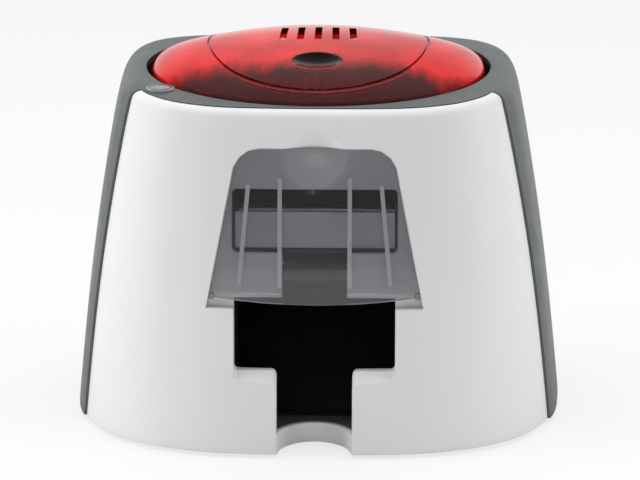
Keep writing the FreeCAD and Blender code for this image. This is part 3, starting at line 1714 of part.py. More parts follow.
# Output bin
bin_play = 1.0
bin_half = card_half + bin_play
bin_wall = 2.2
bin_floor_z = 11.5
bin_floor = 2.0
bin_front_gap = 12.5
bin_front_y = front_y + bin_front_gap
bin_floor_length = 33.0
ramp_front_y = bin_front_y + bin_floor_length
ramp_reach = 30.0
ramp_rear_y = exit_y + ramp_reach
ramp_drop = 27.0
ramp_rear_z = path_z - ramp_drop
ramp_end_reach = 17.0
ramp_end_rise = 12.0
bin_step_z = 36.0
bin_step = 5.5
bin_side_drop = 29.0
bin_side_top_z = path_z - bin_side_drop
bin_side_flat = 16.5
bin_side_depth = 8.0
bin_side_rise = 2.0
bin_keel = 41.0
bin_side_lean = 9.5
bin_lip_gap = 0.6
bin_lip_x = gap_half_width + rim_wall + bin_lip_gap
bin_lip_wall = 2.0


def make_output_bin():
    top = bin_floor_z + bin_floor
    end_y = ramp_rear_y + ramp_end_reach
    end_z = ramp_rear_z + ramp_end_rise
    floor = [(bin_front_y, bin_floor_z), (ramp_front_y, bin_floor_z), (ramp_rear_y, ramp_rear_z - bin_floor),
             (end_y, end_z - bin_floor), (end_y, end_z), (ramp_rear_y, ramp_rear_z), (ramp_front_y, top),
             (bin_front_y, top)]
    floor = slab_x(floor, -bin_half - bin_wall, bin_half + bin_wall)
    notch = elliptic_rod(gap_half_width + rim_wall + slack, notch_depth + rim_wall + slack, front_y,
                         -overrun, top_z)
    floor = floor.cut(notch)
    crown_y = bin_front_y + bin_side_lean
    outline = [(bin_front_y, tray_top_z), (bin_front_y, bin_step_z), (bin_front_y + bin_step, bin_step_z),
               (crown_y, bin_side_top_z), (crown_y + bin_side_flat, bin_side_top_z),
               (ramp_rear_y, ramp_rear_z + bin_side_rise), (ramp_rear_y, ramp_rear_z - bin_side_depth),
               (bin_front_y + bin_keel, tray_top_z)]
    side = slab_x(outline, bin_half, bin_half + bin_wall)
    lip = box(bin_lip_x, bin_half + bin_wall, bin_front_y - bin_lip_wall, bin_front_y, tray_top_z,
              bin_step_z)
    pieces = [side, lip]
    pieces += [piece.mirror(Vec(0, 0, 0), X_AXIS) for piece in (side, lip)]
    return join([floor] + pieces)


def make_parts():
    turns = train_angles()
    running_stud = stud_radius + running
    feed = (feed_y, feed_z)
    entry = (entry_y, entry_z)
    platen = (platen_y, platen_z)
    exit_axis = (exit_y, exit_z)
    return {
        "front_shell": make_front_shell(),
        "side_housing": make_side_housing(),
        "rear_cover": make_rear_cover(),
        "base_tray": make_base_tray(),
        "rubber_feet": make_feet(),
        "base_screws": make_base_screws(),
        "main_board": make_main_board(),
        "board_components": make_board_components(),
        "power_jack": make_power_jack(),
        "usb_socket": make_usb_socket(),
        "well_liner": make_well_liner(),
        "lid_hinge_pin": make_lid_hinge_pin(),
        "lid_switch": make_lid_switch(),
        "card_hopper": make_card_hopper(),
        "card_guide": make_card_guide(),
        "output_bin": make_output_bin(),
        "left_frame_plate": make_left_frame_plate(),
        "right_frame_plate": make_right_frame_plate(),
        "tie_bars": make_tie_bars(),
        "roller_bushes": make_roller_bushes(),
        "motor_bracket": make_motor_bracket(),
        "drive_motor": make_drive_motor(),
        "ribbon_motor_bracket": make_ribbon_motor_bracket(),
        "ribbon_motor": make_ribbon_motor(),
        "ribbon_guide_bars": make_guide_bars(),
        "ribbon_web": make_ribbon_web(),
        "button_board": make_button_board(),
        "status_ring": make_status_ring(),
        "lid": make_lid(),
        "lid_tongue": make_lid_tongue(),
        "head_carrier": make_head_carrier(),
        "print_head": make_print_head(),
        "head_cooler": make_head_cooler(),
        "feeder_cover": make_feeder_cover(),
        "power_button": make_power_button(),
        "pressure_plate": make_pressure_plate(),
        "feed_roller": roller_sleeve(feed_radius, feed_half_length, feed_y, feed_z),
        "feed_shaft": roller_shaft(feed_y, feed_z),
        "feed_gear": gear(feed_teeth, turns["feed"], feed, shaft_radius),
        "entry_roller": roller_sleeve(entry_radius, roller_half_length, entry_y, entry_z),
        "entry_shaft": roller_shaft(entry_y, entry_z),
        "entry_gear": gear(roller_teeth, turns["entry"], entry, shaft_radius),
        "platen_roller": roller_sleeve(platen_radius, roller_half_length, platen_y, platen_z),
        "platen_shaft": roller_shaft(platen_y, platen_z),
        "platen_gear": gear(roller_teeth, turns["platen"], platen, shaft_radius),
        "exit_roller": roller_sleeve(exit_radius, roller_half_length, exit_y, exit_z),
        "exit_shaft": roller_shaft(exit_y, exit_z),
        "exit_gear": gear(roller_teeth, turns["exit"], exit_axis, shaft_radius),
        "feed_idler_gear": gear(idler_teeth, turns["feed_idler"], feed_idler_axis(), running_stud),
        "entry_idler_gear": gear(roller_teeth, turns["entry_idler"], entry_idler_axis(), running_stud),
        "exit_idler_gear": gear(roller_teeth, turns["exit_idler"], exit_idler_axis(), running_stud),
        "motor_pinion": pinion_with_shaft(pinion_teeth, turns["pinion"], pinion_axis()),
        "entry_pinch_roller": make_pinch_roller(entry_y),
        "exit_pinch_roller": make_pinch_roller(exit_y),
        "takeup_core": core_with_spindle(takeup_y, takeup_z, shaft_end),
        "takeup_film": wound_film(takeup_radius, takeup_y, takeup_z),
        "takeup_gear": make_takeup_gear(),
        "supply_core": core_with_spindle(supply_y, supply_z, spindle_end),
        "supply_film": wound_film(supply_radius, supply_y, supply_z),
        "ribbon_pinion": make_ribbon_pinion(),
    }


def make_pinch_roller(y):
    return rod_x(pinch_radius, -roller_half_length, roller_half_length, y, pinch_z).fuse(
        rod_x(pinch_shaft_radius, -spindle_end, spindle_end, y, pinch_z))


def make_takeup_gear():
    wheel = gear(takeup_teeth, 0.0, (takeup_y, takeup_z), spindle_radius)
    return wheel.mirror(Vec(0, 0, 0), X_AXIS)


def make_ribbon_pinion():
    axis = ribbon_pinion_axis()
    turn = meshed((takeup_y, takeup_z), takeup_teeth, 0.0, axis, pinion_teeth)
    return pinion_with_shaft(pinion_teeth, turn, axis).mirror(Vec(0, 0, 0), X_AXIS)


os.makedirs("parts", exist_ok=True)
for name, shape in make_parts().items():
    shape.exportStep("parts/" + name + ".step")
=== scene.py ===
import bpy
import bmesh
import json
from math import radians, sin, cos
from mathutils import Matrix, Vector
from mathutils.bvhtree import BVHTree

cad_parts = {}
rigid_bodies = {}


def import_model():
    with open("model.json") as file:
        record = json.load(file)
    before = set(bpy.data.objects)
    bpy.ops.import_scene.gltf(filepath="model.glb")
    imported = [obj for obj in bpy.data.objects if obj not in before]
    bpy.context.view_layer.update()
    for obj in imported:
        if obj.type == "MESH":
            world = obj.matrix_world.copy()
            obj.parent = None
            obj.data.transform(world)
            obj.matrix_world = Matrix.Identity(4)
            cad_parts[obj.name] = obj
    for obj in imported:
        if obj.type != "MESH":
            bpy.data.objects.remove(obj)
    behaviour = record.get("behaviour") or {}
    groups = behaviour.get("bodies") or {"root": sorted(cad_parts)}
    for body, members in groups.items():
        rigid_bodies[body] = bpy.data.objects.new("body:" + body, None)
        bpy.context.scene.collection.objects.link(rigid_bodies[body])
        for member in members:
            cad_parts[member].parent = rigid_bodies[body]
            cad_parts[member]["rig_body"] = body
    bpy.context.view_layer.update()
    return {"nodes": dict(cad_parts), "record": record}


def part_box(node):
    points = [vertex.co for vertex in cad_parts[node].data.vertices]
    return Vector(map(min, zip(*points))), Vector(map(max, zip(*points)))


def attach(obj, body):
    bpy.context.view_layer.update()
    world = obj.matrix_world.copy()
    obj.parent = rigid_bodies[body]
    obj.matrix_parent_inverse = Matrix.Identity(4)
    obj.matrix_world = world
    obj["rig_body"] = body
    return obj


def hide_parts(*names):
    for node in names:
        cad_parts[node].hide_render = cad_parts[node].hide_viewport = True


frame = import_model()
scene = bpy.context.scene
nodes = frame["nodes"]
body_of_node = {name: obj["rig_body"] for name, obj in nodes.items()}
slot_of_node = {part["node"]: part["material_slot"] for part in frame["record"]["subparts"]}
MM = 0.001


# Camera

sensor_width = 36.0
lens_length = 225.0
view_end = 30.0
look_at = Vector((0.915, 0.0, 95.39)) * MM
camera_distance = 2.23509
yaw = radians(1.4)
tilt = radians(16.5)

camera_data = bpy.data.cameras.new("camera")
camera_data.sensor_width = sensor_width
camera_data.lens = lens_length
camera_data.clip_end = view_end
camera = bpy.data.objects.new("camera", camera_data)
scene.collection.objects.link(camera)
scene.camera = camera
forward = Vector((-sin(yaw) * cos(tilt), cos(yaw) * cos(tilt), -sin(tilt)))
camera.location = look_at - forward * camera_distance
camera.rotation_euler = forward.to_track_quat("-Z", "Y").to_euler()


# Node helpers

def link(tree, source, target):
    tree.links.new(source, target)


def new_material(name):
    material = bpy.data.materials.new(name)
    material.use_nodes = True
    tree = material.node_tree
    return material, tree, tree.nodes["Principled BSDF"]


def axes(tree, coordinates="Object"):
    """The X, Y and Z of a place on the surface, or of a direction in the sky."""
    place = tree.nodes.new("ShaderNodeTexCoord")
    parts = tree.nodes.new("ShaderNodeSeparateXYZ")
    link(tree, place.outputs[coordinates], parts.inputs["Vector"])
    return parts.outputs


def span(tree, source, low, high, to_low, to_high):
    """Maps one range of values to another, held at both ends."""
    node = tree.nodes.new("ShaderNodeMapRange")
    node.inputs["From Min"].default_value = low
    node.inputs["From Max"].default_value = high
    node.inputs["To Min"].default_value = to_low
    node.inputs["To Max"].default_value = to_high
    link(tree, source, node.inputs["Value"])
    return node.outputs["Result"]


def combine(tree, operation, first, second=None, clamp=False):
    """Joins two values, or a value and a number."""
    node = tree.nodes.new("ShaderNodeMath")
    node.operation = operation
    node.use_clamp = clamp
    link(tree, first, node.inputs[0])
    if isinstance(second, float):
        node.inputs[1].default_value = second
    elif second is not None:
        link(tree, second, node.inputs[1])
    return node.outputs["Value"]


def between(tree, source, low, high, soft):
    """One where a value lies between two others, and zero outside them."""
    rise = span(tree, source, low - soft, low + soft, 0.0, 1.0)
    fall = span(tree, source, high - soft, high + soft, 1.0, 0.0)
    return combine(tree, "MULTIPLY", rise, fall)


def share_from(tree, centre, reach):
    """Distance from a centre, as a share of the reach along each axis; an axis of reach zero is left out."""
    scales = [1 / length if length else 0.0 for length in reach]
    place = tree.nodes.new("ShaderNodeTexCoord")
    mapping = tree.nodes.new("ShaderNodeMapping")
    mapping.inputs["Scale"].default_value = scales
    mapping.inputs["Location"].default_value = [-middle * scale for middle, scale in zip(centre, scales)]
    length = tree.nodes.new("ShaderNodeVectorMath")
    length.operation = "LENGTH"
    link(tree, place.outputs["Object"], mapping.inputs["Vector"])
    link(tree, mapping.outputs["Vector"], length.inputs[0])
    return length.outputs["Value"]


def noise(tree, scale, detail=2.0, roughness=0.5, stretch=(1.0, 1.0, 1.0)):
    """Noise over the object's own coordinates, in features per metre."""
    place = tree.nodes.new("ShaderNodeTexCoord")
    mapping = tree.nodes.new("ShaderNodeMapping")
    mapping.inputs["Scale"].default_value = stretch
    texture = tree.nodes.new("ShaderNodeTexNoise")
    texture.inputs["Scale"].default_value = scale
    texture.inputs["Detail"].default_value = detail
    texture.inputs["Roughness"].default_value = roughness
    link(tree, place.outputs["Object"], mapping.inputs["Vector"])
    link(tree, mapping.outputs["Vector"], texture.inputs["Vector"])
    return texture.outputs["Fac"]


def colour_ramp(tree, share, first, second, low=0.0, high=1.0):
    """Colour that changes from first to second as a share goes from low to high."""
    ramp = tree.nodes.new("ShaderNodeValToRGB")
    ramp.color_ramp.elements[0].position = low
    ramp.color_ramp.elements[0].color = (*first, 1.0)
    ramp.color_ramp.elements[1].position = high
    ramp.color_ramp.elements[1].color = (*second, 1.0)
    link(tree, share, ramp.inputs["Fac"])
    return ramp.outputs["Color"]


# Finish of a surface

noise_low = 0.3
noise_high = 0.7
edge_samples = 4


def mottle(tree, shader, dark, light, scale, stretch=(1.0, 1.0, 1.0)):
    """Slow colour change between two close shades."""
    cloud = noise(tree, scale, 3.0, 0.55, stretch)
    link(tree, colour_ramp(tree, cloud, dark, light, noise_low, noise_high), shader.inputs["Base Color"])


def uneven_gloss(tree, shader, low, high, scale, stretch=(1.0, 1.0, 1.0)):
    """Roughness that drifts between two values."""
    cloud = noise(tree, scale, 4.0, 0.6, stretch)
    link(tree, span(tree, cloud, noise_low, noise_high, low, high), shader.inputs["Roughness"])


def grain(tree, shader, scale, height, edge=0.0, stretch=(1.0, 1.0, 1.0)):
    """Fine surface grain, with edges shaded as rounds of the radius edge where that is above zero."""
    bump = tree.nodes.new("ShaderNodeBump")
    bump.inputs["Strength"].default_value = 1.0
    bump.inputs["Distance"].default_value = height
    link(tree, noise(tree, scale, stretch=stretch), bump.inputs["Height"])
    if edge > 0:
        rounding = tree.nodes.new("ShaderNodeBevel")
        rounding.samples = edge_samples
        rounding.inputs["Radius"].default_value = edge
        link(tree, rounding.outputs["Normal"], bump.inputs["Normal"])
    link(tree, bump.outputs["Normal"], shader.inputs["Normal"])


# Kinds of finish

opaque_ior = 1.5
clear_ior = 1.46
mottle_scale = 22.0
clear_mottle_scale = 18.0
metal_mottle_scale = 40.0
gloss_scale = 60.0
clear_gloss_scale = 40.0
clear_grain_scale = 900.0
clear_grain_height = 0.003 * MM
clear_edge = 0.5 * MM
metal_gloss_scale = 225.0
metal_grain_scale = 900.0
metal_grain_height = 0.006 * MM
fine_grain_scale = 2600.0
coarse_grain_scale = 1500.0
smooth = 0.002 * MM
satin = 0.01 * MM
rough = 0.02 * MM


def moulded_plastic(name, dark, light, gloss, grain_height=satin, grain_scale=fine_grain_scale, edge=0.0):
    """Opaque plastic of one colour with a moulded grain."""
    material, tree, shader = new_material(name)
    mottle(tree, shader, dark, light, mottle_scale)
    uneven_gloss(tree, shader, *gloss, gloss_scale)
    grain(tree, shader, grain_scale, grain_height, edge=edge)
    shader.inputs["IOR"].default_value = opaque_ior
    return material


def clear_plastic(name, dark, light, body, gloss):
    """See-through plastic; body is the share of it that only scatters light."""
    material, tree, shader = new_material(name)
    mottle(tree, shader, dark, light, clear_mottle_scale)
    uneven_gloss(tree, shader, *gloss, clear_gloss_scale)
    grain(tree, shader, clear_grain_scale, clear_grain_height, edge=clear_edge)
    shader.inputs["IOR"].default_value = clear_ior
    shader.inputs["Transmission Weight"].default_value = 1.0 - body
    return material


def metal(name, dark, light, gloss, stretch=(1.0, 1.0, 1.0)):
    """Bare metal, brushed along the axis that has the small stretch."""
    material, tree, shader = new_material(name)
    shader.inputs["Metallic"].default_value = 1.0
    mottle(tree, shader, dark, light, metal_mottle_scale, stretch)
    uneven_gloss(tree, shader, *gloss, metal_gloss_scale, stretch)
    grain(tree, shader, metal_grain_scale, metal_grain_height, stretch=stretch)
    return material


# Finishes with a pattern of their own

button_low, button_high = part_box("power_button")
button_middle = tuple((low + high) / 2 for low, high in zip(button_low, button_high))
button_reach = 7.8 * MM
button_near = 1.0 * MM
button_far = 2.0 * MM
rim_groove_shade_shares = (0.62, 0.92)
cap_groove_shade_shares = (0.30, 0.58)
groove_shade_soft_share = 0.03


def button_plastic(name):
    """Grey plastic with painted shade in the button's grooves: a dark crescent behind its rim and one before
    its cap, on the sides that lie in shade.
    """
    material, tree, shader = new_material(name)
    share = share_from(tree, button_middle, (button_reach, button_reach, 0.0))
    y = axes(tree)["Y"]
    middle_y = button_middle[1]
    behind = span(tree, y, middle_y - button_near, middle_y + button_far, 0.0, 1.0)
    before = span(tree, y, middle_y - button_far, middle_y + button_near, 1.0, 0.0)
    # Painted shade: each groove is darkened on one side only, as if that wall were in shadow.
    outer = combine(tree, "MULTIPLY", between(tree, share, *rim_groove_shade_shares, groove_shade_soft_share), behind)
    inner = combine(tree, "MULTIPLY", between(tree, share, *cap_groove_shade_shares, groove_shade_soft_share), before)
    groove = combine(tree, "MAXIMUM", outer, inner)
    colour = colour_ramp(tree, groove, (0.24, 0.26, 0.26), (0.004, 0.004, 0.005))
    link(tree, colour, shader.inputs["Base Color"])
    uneven_gloss(tree, shader, 0.25, 0.33, gloss_scale)
    grain(tree, shader, coarse_grain_scale, clear_grain_height)
    return material


dish_half_width = 18.0 * MM
dish_top_z = 168.5 * MM
dish_height = 21.0 * MM
dish_painted_light = (0.22, 0.10)
dish_light_share = 0.55
dish_light_edge_share = 0.97
cover_highlight_z = 103.2 * MM
cover_highlight_width = 0.4 * MM
cover_highlight_soft = 0.2 * MM
cover_highlight_strength = 0.12
cover_low_fade = 1.0 * MM
cover_clouds = (0.07, 0.02)


def smoked_cover_plastic(name):
    """Smoked see-through plastic, painted cloudier and so lighter in its finger dish as painted light, with
    a thin painted highlight line for the lit edge of an inner lip, and a little cloudier below that line.
    """
    material, tree, shader = new_material(name)
    mottle(tree, shader, (0.67, 0.66, 0.69), (0.70, 0.69, 0.72), clear_mottle_scale)
    uneven_gloss(tree, shader, 0.03, 0.05, clear_gloss_scale)
    grain(tree, shader, clear_grain_scale, clear_grain_height, edge=clear_edge)
    shader.inputs["IOR"].default_value = clear_ior
    dish = share_from(tree, (0.0, 0.0, dish_top_z), (dish_half_width, 0.0, dish_height))
    # Painted light: the dish is made cloudier, so it shows lighter, in place of the light and shade on its
    # curved face.
    dish_light = span(tree, dish, dish_light_share, 1.0, *dish_painted_light)
    inside = combine(tree, "MULTIPLY", span(tree, dish, dish_light_edge_share, 1.0, 1.0, 0.0), dish_light)
    z = axes(tree)["Z"]
    # Painted highlight: a thin cloudy band stands in for the lit edge of an inner lip low on the cover.
    line = between(tree, z, cover_highlight_z, cover_highlight_z + cover_highlight_width, cover_highlight_soft)
    line = combine(tree, "MULTIPLY", line, cover_highlight_strength)
    lower = span(tree, z, cover_highlight_z - cover_low_fade, cover_highlight_z, *cover_clouds)
    body = combine(tree, "MAXIMUM", inside, combine(tree, "MAXIMUM", lower, line))
    link(tree, span(tree, body, 0.0, 1.0, 1.0, 0.0), shader.inputs["Transmission Weight"])
    return material


lit_floor_rear_y = -62.0 * MM
lit_floor_rear_fade = 2.0 * MM
lit_floor_top_z = 15.5 * MM
lit_floor_top_fade = 1.0 * MM
lit_floor_mottle_scale = 240.0
lit_floor_mottle_strengths = (0.75, 1.0)


def bin_plastic(name):
    """Black plastic, with the front of the bin's floor painted a dull brown as painted light where light
    reaches it; further back the floor stays black as painted shade.
    """
    material, tree, shader = new_material(name)
    place = axes(tree)
    # Painted light: the lit front of the bin's floor, brown with an uneven strength.
    front = span(tree, place["Y"], lit_floor_rear_y - lit_floor_rear_fade, lit_floor_rear_y, 1.0, 0.0)
    low = span(tree, place["Z"], lit_floor_top_z - lit_floor_top_fade, lit_floor_top_z, 1.0, 0.0)
    lit_floor_mottle = span(tree, noise(tree, lit_floor_mottle_scale, 3.0), noise_low, noise_high, *lit_floor_mottle_strengths)
    share = combine(tree, "MULTIPLY", combine(tree, "MULTIPLY", front, low), lit_floor_mottle)
    colour = colour_ramp(tree, share, (0.013, 0.013, 0.013), (0.155, 0.135, 0.120))
    link(tree, colour, shader.inputs["Base Color"])
    uneven_gloss(tree, shader, 0.45, 0.6, gloss_scale)
    grain(tree, shader, coarse_grain_scale, rough)
    return material


lid_light_front_y = -35.0 * MM
lid_light_rear_y = -21.0 * MM
lid_light_side_share = 0.06
ragged_reach = 7.0 * MM
streak_scale = 55.0
patch_scale = 34.0
patch_noise = (0.35, 0.65)
patch_strengths = (0.72, 1.0)
ring_centre_y = 6.5 * MM
ring_radius = 61.5 * MM
lip_highlight_shares = (1.018, 1.028)
lip_highlight_soft_share = 0.004
lip_highlight_strength = 0.75
dimple_y = -29.0 * MM
dimple_half_width = 14.1 * MM
dimple_half_length = 8.8 * MM
dimple_shadow_shares = (0.94, 1.02)
dimple_front_fade = 3.0 * MM
dimple_rear_fade = 2.0 * MM
dimple_rim_highlight_shares = (0.97, 1.04)
dimple_rim_highlight_soft_share = 0.02
dimple_rim_highlight_strength = 0.6
clear_lid_share = 0.92


def lid_painted_light(tree, place):
    """How much painted light the dome has, which also makes it less see-through: from one at its rear to
    zero at its front, with a ragged line between.
    """
    streaks = noise(tree, streak_scale, 4.0, 0.6, (1.0, 0.3, 0.3))
    ragged = span(tree, streaks, noise_low, noise_high, -ragged_reach, ragged_reach)
    aside = combine(tree, "MULTIPLY", combine(tree, "ABSOLUTE", place["X"]), lid_light_side_share)
    depth = combine(tree, "ADD", combine(tree, "ADD", place["Y"], aside), ragged)
    patches = span(tree, noise(tree, patch_scale, 3.0), *patch_noise, *patch_strengths)
    cloud = combine(tree, "MULTIPLY", span(tree, depth, lid_light_front_y, lid_light_rear_y, 0.0, 1.0), patches)
    ring = share_from(tree, (0.0, ring_centre_y, 0.0), (ring_radius, ring_radius, 0.0))
    # Painted highlight: a thin bright line on the lip just outside the round groove.
    lip_highlight = combine(tree, "MULTIPLY", between(tree, ring, *lip_highlight_shares, lip_highlight_soft_share), lip_highlight_strength)
    return combine(tree, "MAXIMUM", cloud, lip_highlight)


def tinted_lid_plastic(name):
    """Red see-through plastic with painted light: brighter and less see-through towards its rear, clear and
    deep red at its front, with a painted shadow on the rear wall of the dimple and a painted highlight on
    its front rim.
    """
    material, tree, shader = new_material(name)
    place = axes(tree)
    dimple = share_from(tree, (0.0, dimple_y, 0.0), (dimple_half_width, dimple_half_length, 0.0))
    behind = span(tree, place["Y"], dimple_y - dimple_front_fade, dimple_y + dimple_rear_fade, 0.0, 1.0)
    # Painted shadow on the rear wall of the dimple, and a painted highlight on its front rim.
    shadow = combine(tree, "MULTIPLY", span(tree, dimple, *dimple_shadow_shares, 1.0, 0.0), behind)
    rim = between(tree, dimple, *dimple_rim_highlight_shares, dimple_rim_highlight_soft_share)
    rim = combine(tree, "MULTIPLY", combine(tree, "SUBTRACT", rim, behind), dimple_rim_highlight_strength)
    cloud = combine(tree, "SUBTRACT", combine(tree, "MAXIMUM", lid_painted_light(tree, place), rim), shadow)
    darker = tree.nodes.new("ShaderNodeMixRGB")
    darker.inputs["Color2"].default_value = (0.02, 0.001, 0.001, 1.0)
    link(tree, shadow, darker.inputs["Fac"])
    # Painted light: the red goes from deep to bright with the share of painted light.
    red = colour_ramp(tree, cloud, (0.34, 0.003, 0.004), (0.76, 0.012, 0.013))
    link(tree, red, darker.inputs["Color1"])
    link(tree, darker.outputs["Color"], shader.inputs["Base Color"])
    link(tree, span(tree, cloud, 0.0, 1.0, clear_lid_share, 0.0), shader.inputs["Transmission Weight"])
    uneven_gloss(tree, shader, 0.06, 0.12, clear_gloss_scale)
    grain(tree, shader, clear_grain_scale, smooth)
    shader.inputs["IOR"].default_value = clear_ior
    return material


# Finish of each material slot

brushed_along_x = (0.05, 1.0, 1.0)
brushed_along_y = (1.0, 0.08, 1.0)

finishes = {
    "white_shell": moulded_plastic("white_shell", (0.80, 0.80, 0.803), (0.805, 0.805, 0.805), (0.28, 0.33),
                                   grain_height=smooth, grain_scale=1800.0, edge=0.9 * MM),
    "grey_housing": moulded_plastic("grey_housing", (0.084, 0.095, 0.095), (0.093, 0.104, 0.104),
                                    (0.42, 0.52), grain_height=0.012 * MM, grain_scale=2200.0,
                                    edge=0.6 * MM),
    "red_lid": tinted_lid_plastic("red_lid"),
    "smoked_cover": smoked_cover_plastic("smoked_cover"),
    "bin_black": bin_plastic("bin_black"),
    "button_grey": button_plastic("button_grey"),
    "ring_light": button_plastic("ring_light"),
    "black_liner": moulded_plastic("black_liner", (0.016, 0.016, 0.017), (0.024, 0.024, 0.025), (0.4, 0.55),
                                   grain_height=rough, grain_scale=coarse_grain_scale),
    "dark_plastic": moulded_plastic("dark_plastic", (0.045, 0.045, 0.05), (0.06, 0.06, 0.066), (0.4, 0.55),
                                    grain_height=rough, grain_scale=coarse_grain_scale),
    "hopper_plastic": moulded_plastic("hopper_plastic", (0.030, 0.030, 0.033), (0.042, 0.042, 0.046),
                                      (0.4, 0.55), grain_height=rough, grain_scale=coarse_grain_scale),
    "pusher_plastic": moulded_plastic("pusher_plastic", (0.70, 0.70, 0.73), (0.75, 0.75, 0.78), (0.4, 0.5),
                                      grain_height=satin, grain_scale=coarse_grain_scale),
    "rubber": moulded_plastic("rubber", (0.020, 0.020, 0.020), (0.032, 0.031, 0.030), (0.7, 0.85),
                              grain_height=0.04 * MM, grain_scale=900.0),
    "gear_plastic": moulded_plastic("gear_plastic", (0.74, 0.73, 0.67), (0.80, 0.79, 0.73), (0.35, 0.45),
                                    grain_height=0.006 * MM),
    "spool_plastic": moulded_plastic("spool_plastic", (0.62, 0.62, 0.62), (0.68, 0.68, 0.68), (0.35, 0.5)),
    "ribbon_film": moulded_plastic("ribbon_film", (0.020, 0.018, 0.022), (0.03, 0.027, 0.033), (0.08, 0.2),
                                   grain_height=smooth, grain_scale=1200.0),
    "head_ceramic": moulded_plastic("head_ceramic", (0.22, 0.19, 0.16), (0.28, 0.25, 0.21), (0.1, 0.2),
                                    grain_height=smooth),
    "circuit_board": moulded_plastic("circuit_board", (0.012, 0.09, 0.035), (0.02, 0.13, 0.05), (0.2, 0.35),
                                     grain_height=rough, grain_scale=700.0),
    "board_parts": moulded_plastic("board_parts", (0.02, 0.02, 0.022), (0.035, 0.035, 0.04), (0.35, 0.5)),
    "socket_black": moulded_plastic("socket_black", (0.012, 0.012, 0.012), (0.02, 0.02, 0.02), (0.35, 0.5)),
    "steel": metal("steel", (0.52, 0.52, 0.53), (0.62, 0.62, 0.63), (0.2, 0.32), brushed_along_x),
    "screw_steel": metal("screw_steel", (0.05, 0.05, 0.055), (0.08, 0.08, 0.085), (0.35, 0.5)),
    "frame_metal": metal("frame_metal", (0.55, 0.55, 0.54), (0.66, 0.66, 0.65), (0.3, 0.45),
                         brushed_along_y),
    "motor_metal": metal("motor_metal", (0.04, 0.04, 0.045), (0.07, 0.07, 0.075), (0.35, 0.5)),
    "brass": metal("brass", (0.60, 0.42, 0.16), (0.70, 0.52, 0.22), (0.25, 0.4)),
    "cooler_aluminium": metal("cooler_aluminium", (0.62, 0.62, 0.63), (0.74, 0.74, 0.75), (0.28, 0.4),
                              brushed_along_y),
    "socket_metal": metal("socket_metal", (0.55, 0.55, 0.55), (0.66, 0.66, 0.66), (0.2, 0.35)),
}
# Painted highlight: whitish plastic for the cover's ribs, whose edges catch the light.
painted_rib_highlight = clear_plastic("painted_rib_highlight", (0.86, 0.86, 0.88), (0.90, 0.90, 0.92), 0.85, (0.21, 0.39))
lit_red = moulded_plastic("lit_red", (0.95, 0.010, 0.008), (1.0, 0.014, 0.010), (0.15, 0.2),
                          grain_height=smooth)
# Painted shade: a darker copy of the red, for faces that lie in shade.
shaded_red = moulded_plastic("shaded_red", (0.050, 0.002, 0.002), (0.080, 0.003, 0.003), (0.10, 0.15),
                           grain_height=smooth)


# Carried-over solids

merge_distance = 0.002 * MM
crease_angle = radians(32.0)
shown_close = ["front_shell", "side_housing", "rear_cover", "lid", "feeder_cover", "output_bin",
               "card_hopper", "pressure_plate", "feed_roller", "base_tray", "well_liner", "head_carrier"]


def smooth_copy(name):
    """Stands in for a moulded piece, with its triangles joined up and its curved faces shaded smoothly."""
    mesh = nodes[name].data.copy()
    mesh.name = name + "_skin"
    shape = bmesh.new()
    shape.from_mesh(mesh)
    bmesh.ops.remove_doubles(shape, verts=shape.verts, dist=merge_distance)
    for face in shape.faces:
        face.smooth = True
    for edge in shape.edges:
        if len(edge.link_faces) == 2 and edge.calc_face_angle(0.0) > crease_angle:
            edge.smooth = False
    shape.to_mesh(mesh)
    shape.free()
    piece = bpy.data.objects.new(name + "_skin", mesh)
    scene.collection.objects.link(piece)
    mesh.materials.clear()
    mesh.materials.append(finishes[slot_of_node[name]])
    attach(piece, body_of_node[name])
    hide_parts(name)
    return piece


def new_piece(name, shape, body, slot_name, finish=None):
    """Makes a piece from a finished shape, with the slot's own finish unless it is given another."""
    mesh = bpy.data.meshes.new(name)
    shape.to_mesh(mesh)
    shape.free()
    piece = bpy.data.objects.new(name, mesh)
    scene.collection.objects.link(piece)
    mesh.materials.append(finish or finishes[slot_name])
    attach(piece, body)
    return piece


def solid_tree(name):
    """Search tree of a solid, to find the places where a line meets it."""
    mesh = nodes[name].data
    points = [vertex.co for vertex in mesh.vertices]
    return BVHTree.FromPolygons(points, [face.vertices for face in mesh.polygons])


skins = {}
for part_name, part in nodes.items():
    if part_name in shown_close:
        skins[part_name] = smooth_copy(part_name)
    else:
        part.data.materials.clear()
        part.data.materials.append(finishes[slot_of_node[part_name]])


# Lid

shoulder_middle_y = 2.0 * MM
shoulder_reach = 52.0 * MM
shoulder_lift = 8.0 * MM
slot_front_y = -5.0 * MM
slot_rear_y = 17.0 * MM
slot_half_span = 24.0 * MM
slot_wall_facing = 0.9
groove_shares = (0.985, 1.015)
groove_face_area = 4.0 * MM * MM
groove_facing = -0.2


def lift_lid_shoulder(piece):
    """Fills out the two sides of the dome, so that it stands up from the deck with a round shoulder."""
    low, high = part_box("lid")
    half_width = (high.x - low.x) / 2
    for vertex in piece.data.vertices:
        across = min(abs(vertex.co.x) / half_width, 1.0)
        along = min(abs(vertex.co.y - shoulder_middle_y) / shoulder_reach, 1.0)
        vertex.co.z += shoulder_lift * across ** 2 * (1 - across ** 8) * (1 - along ** 2) ** 2


def face_finish(piece, finish, chosen):
    """Gives the chosen faces of a piece a finish of their own."""
    piece.data.materials.append(finish)
    index = len(piece.data.materials) - 1
    for face in piece.data.polygons:
        if chosen(face):
            face.material_index = index


def in_vent(face):
    """Faces of the front walls of the vent slots."""
    middle = face.center
    inside = slot_front_y < middle.y < slot_rear_y and abs(middle.x) < slot_half_span
    return inside and face.normal.y > slot_wall_facing


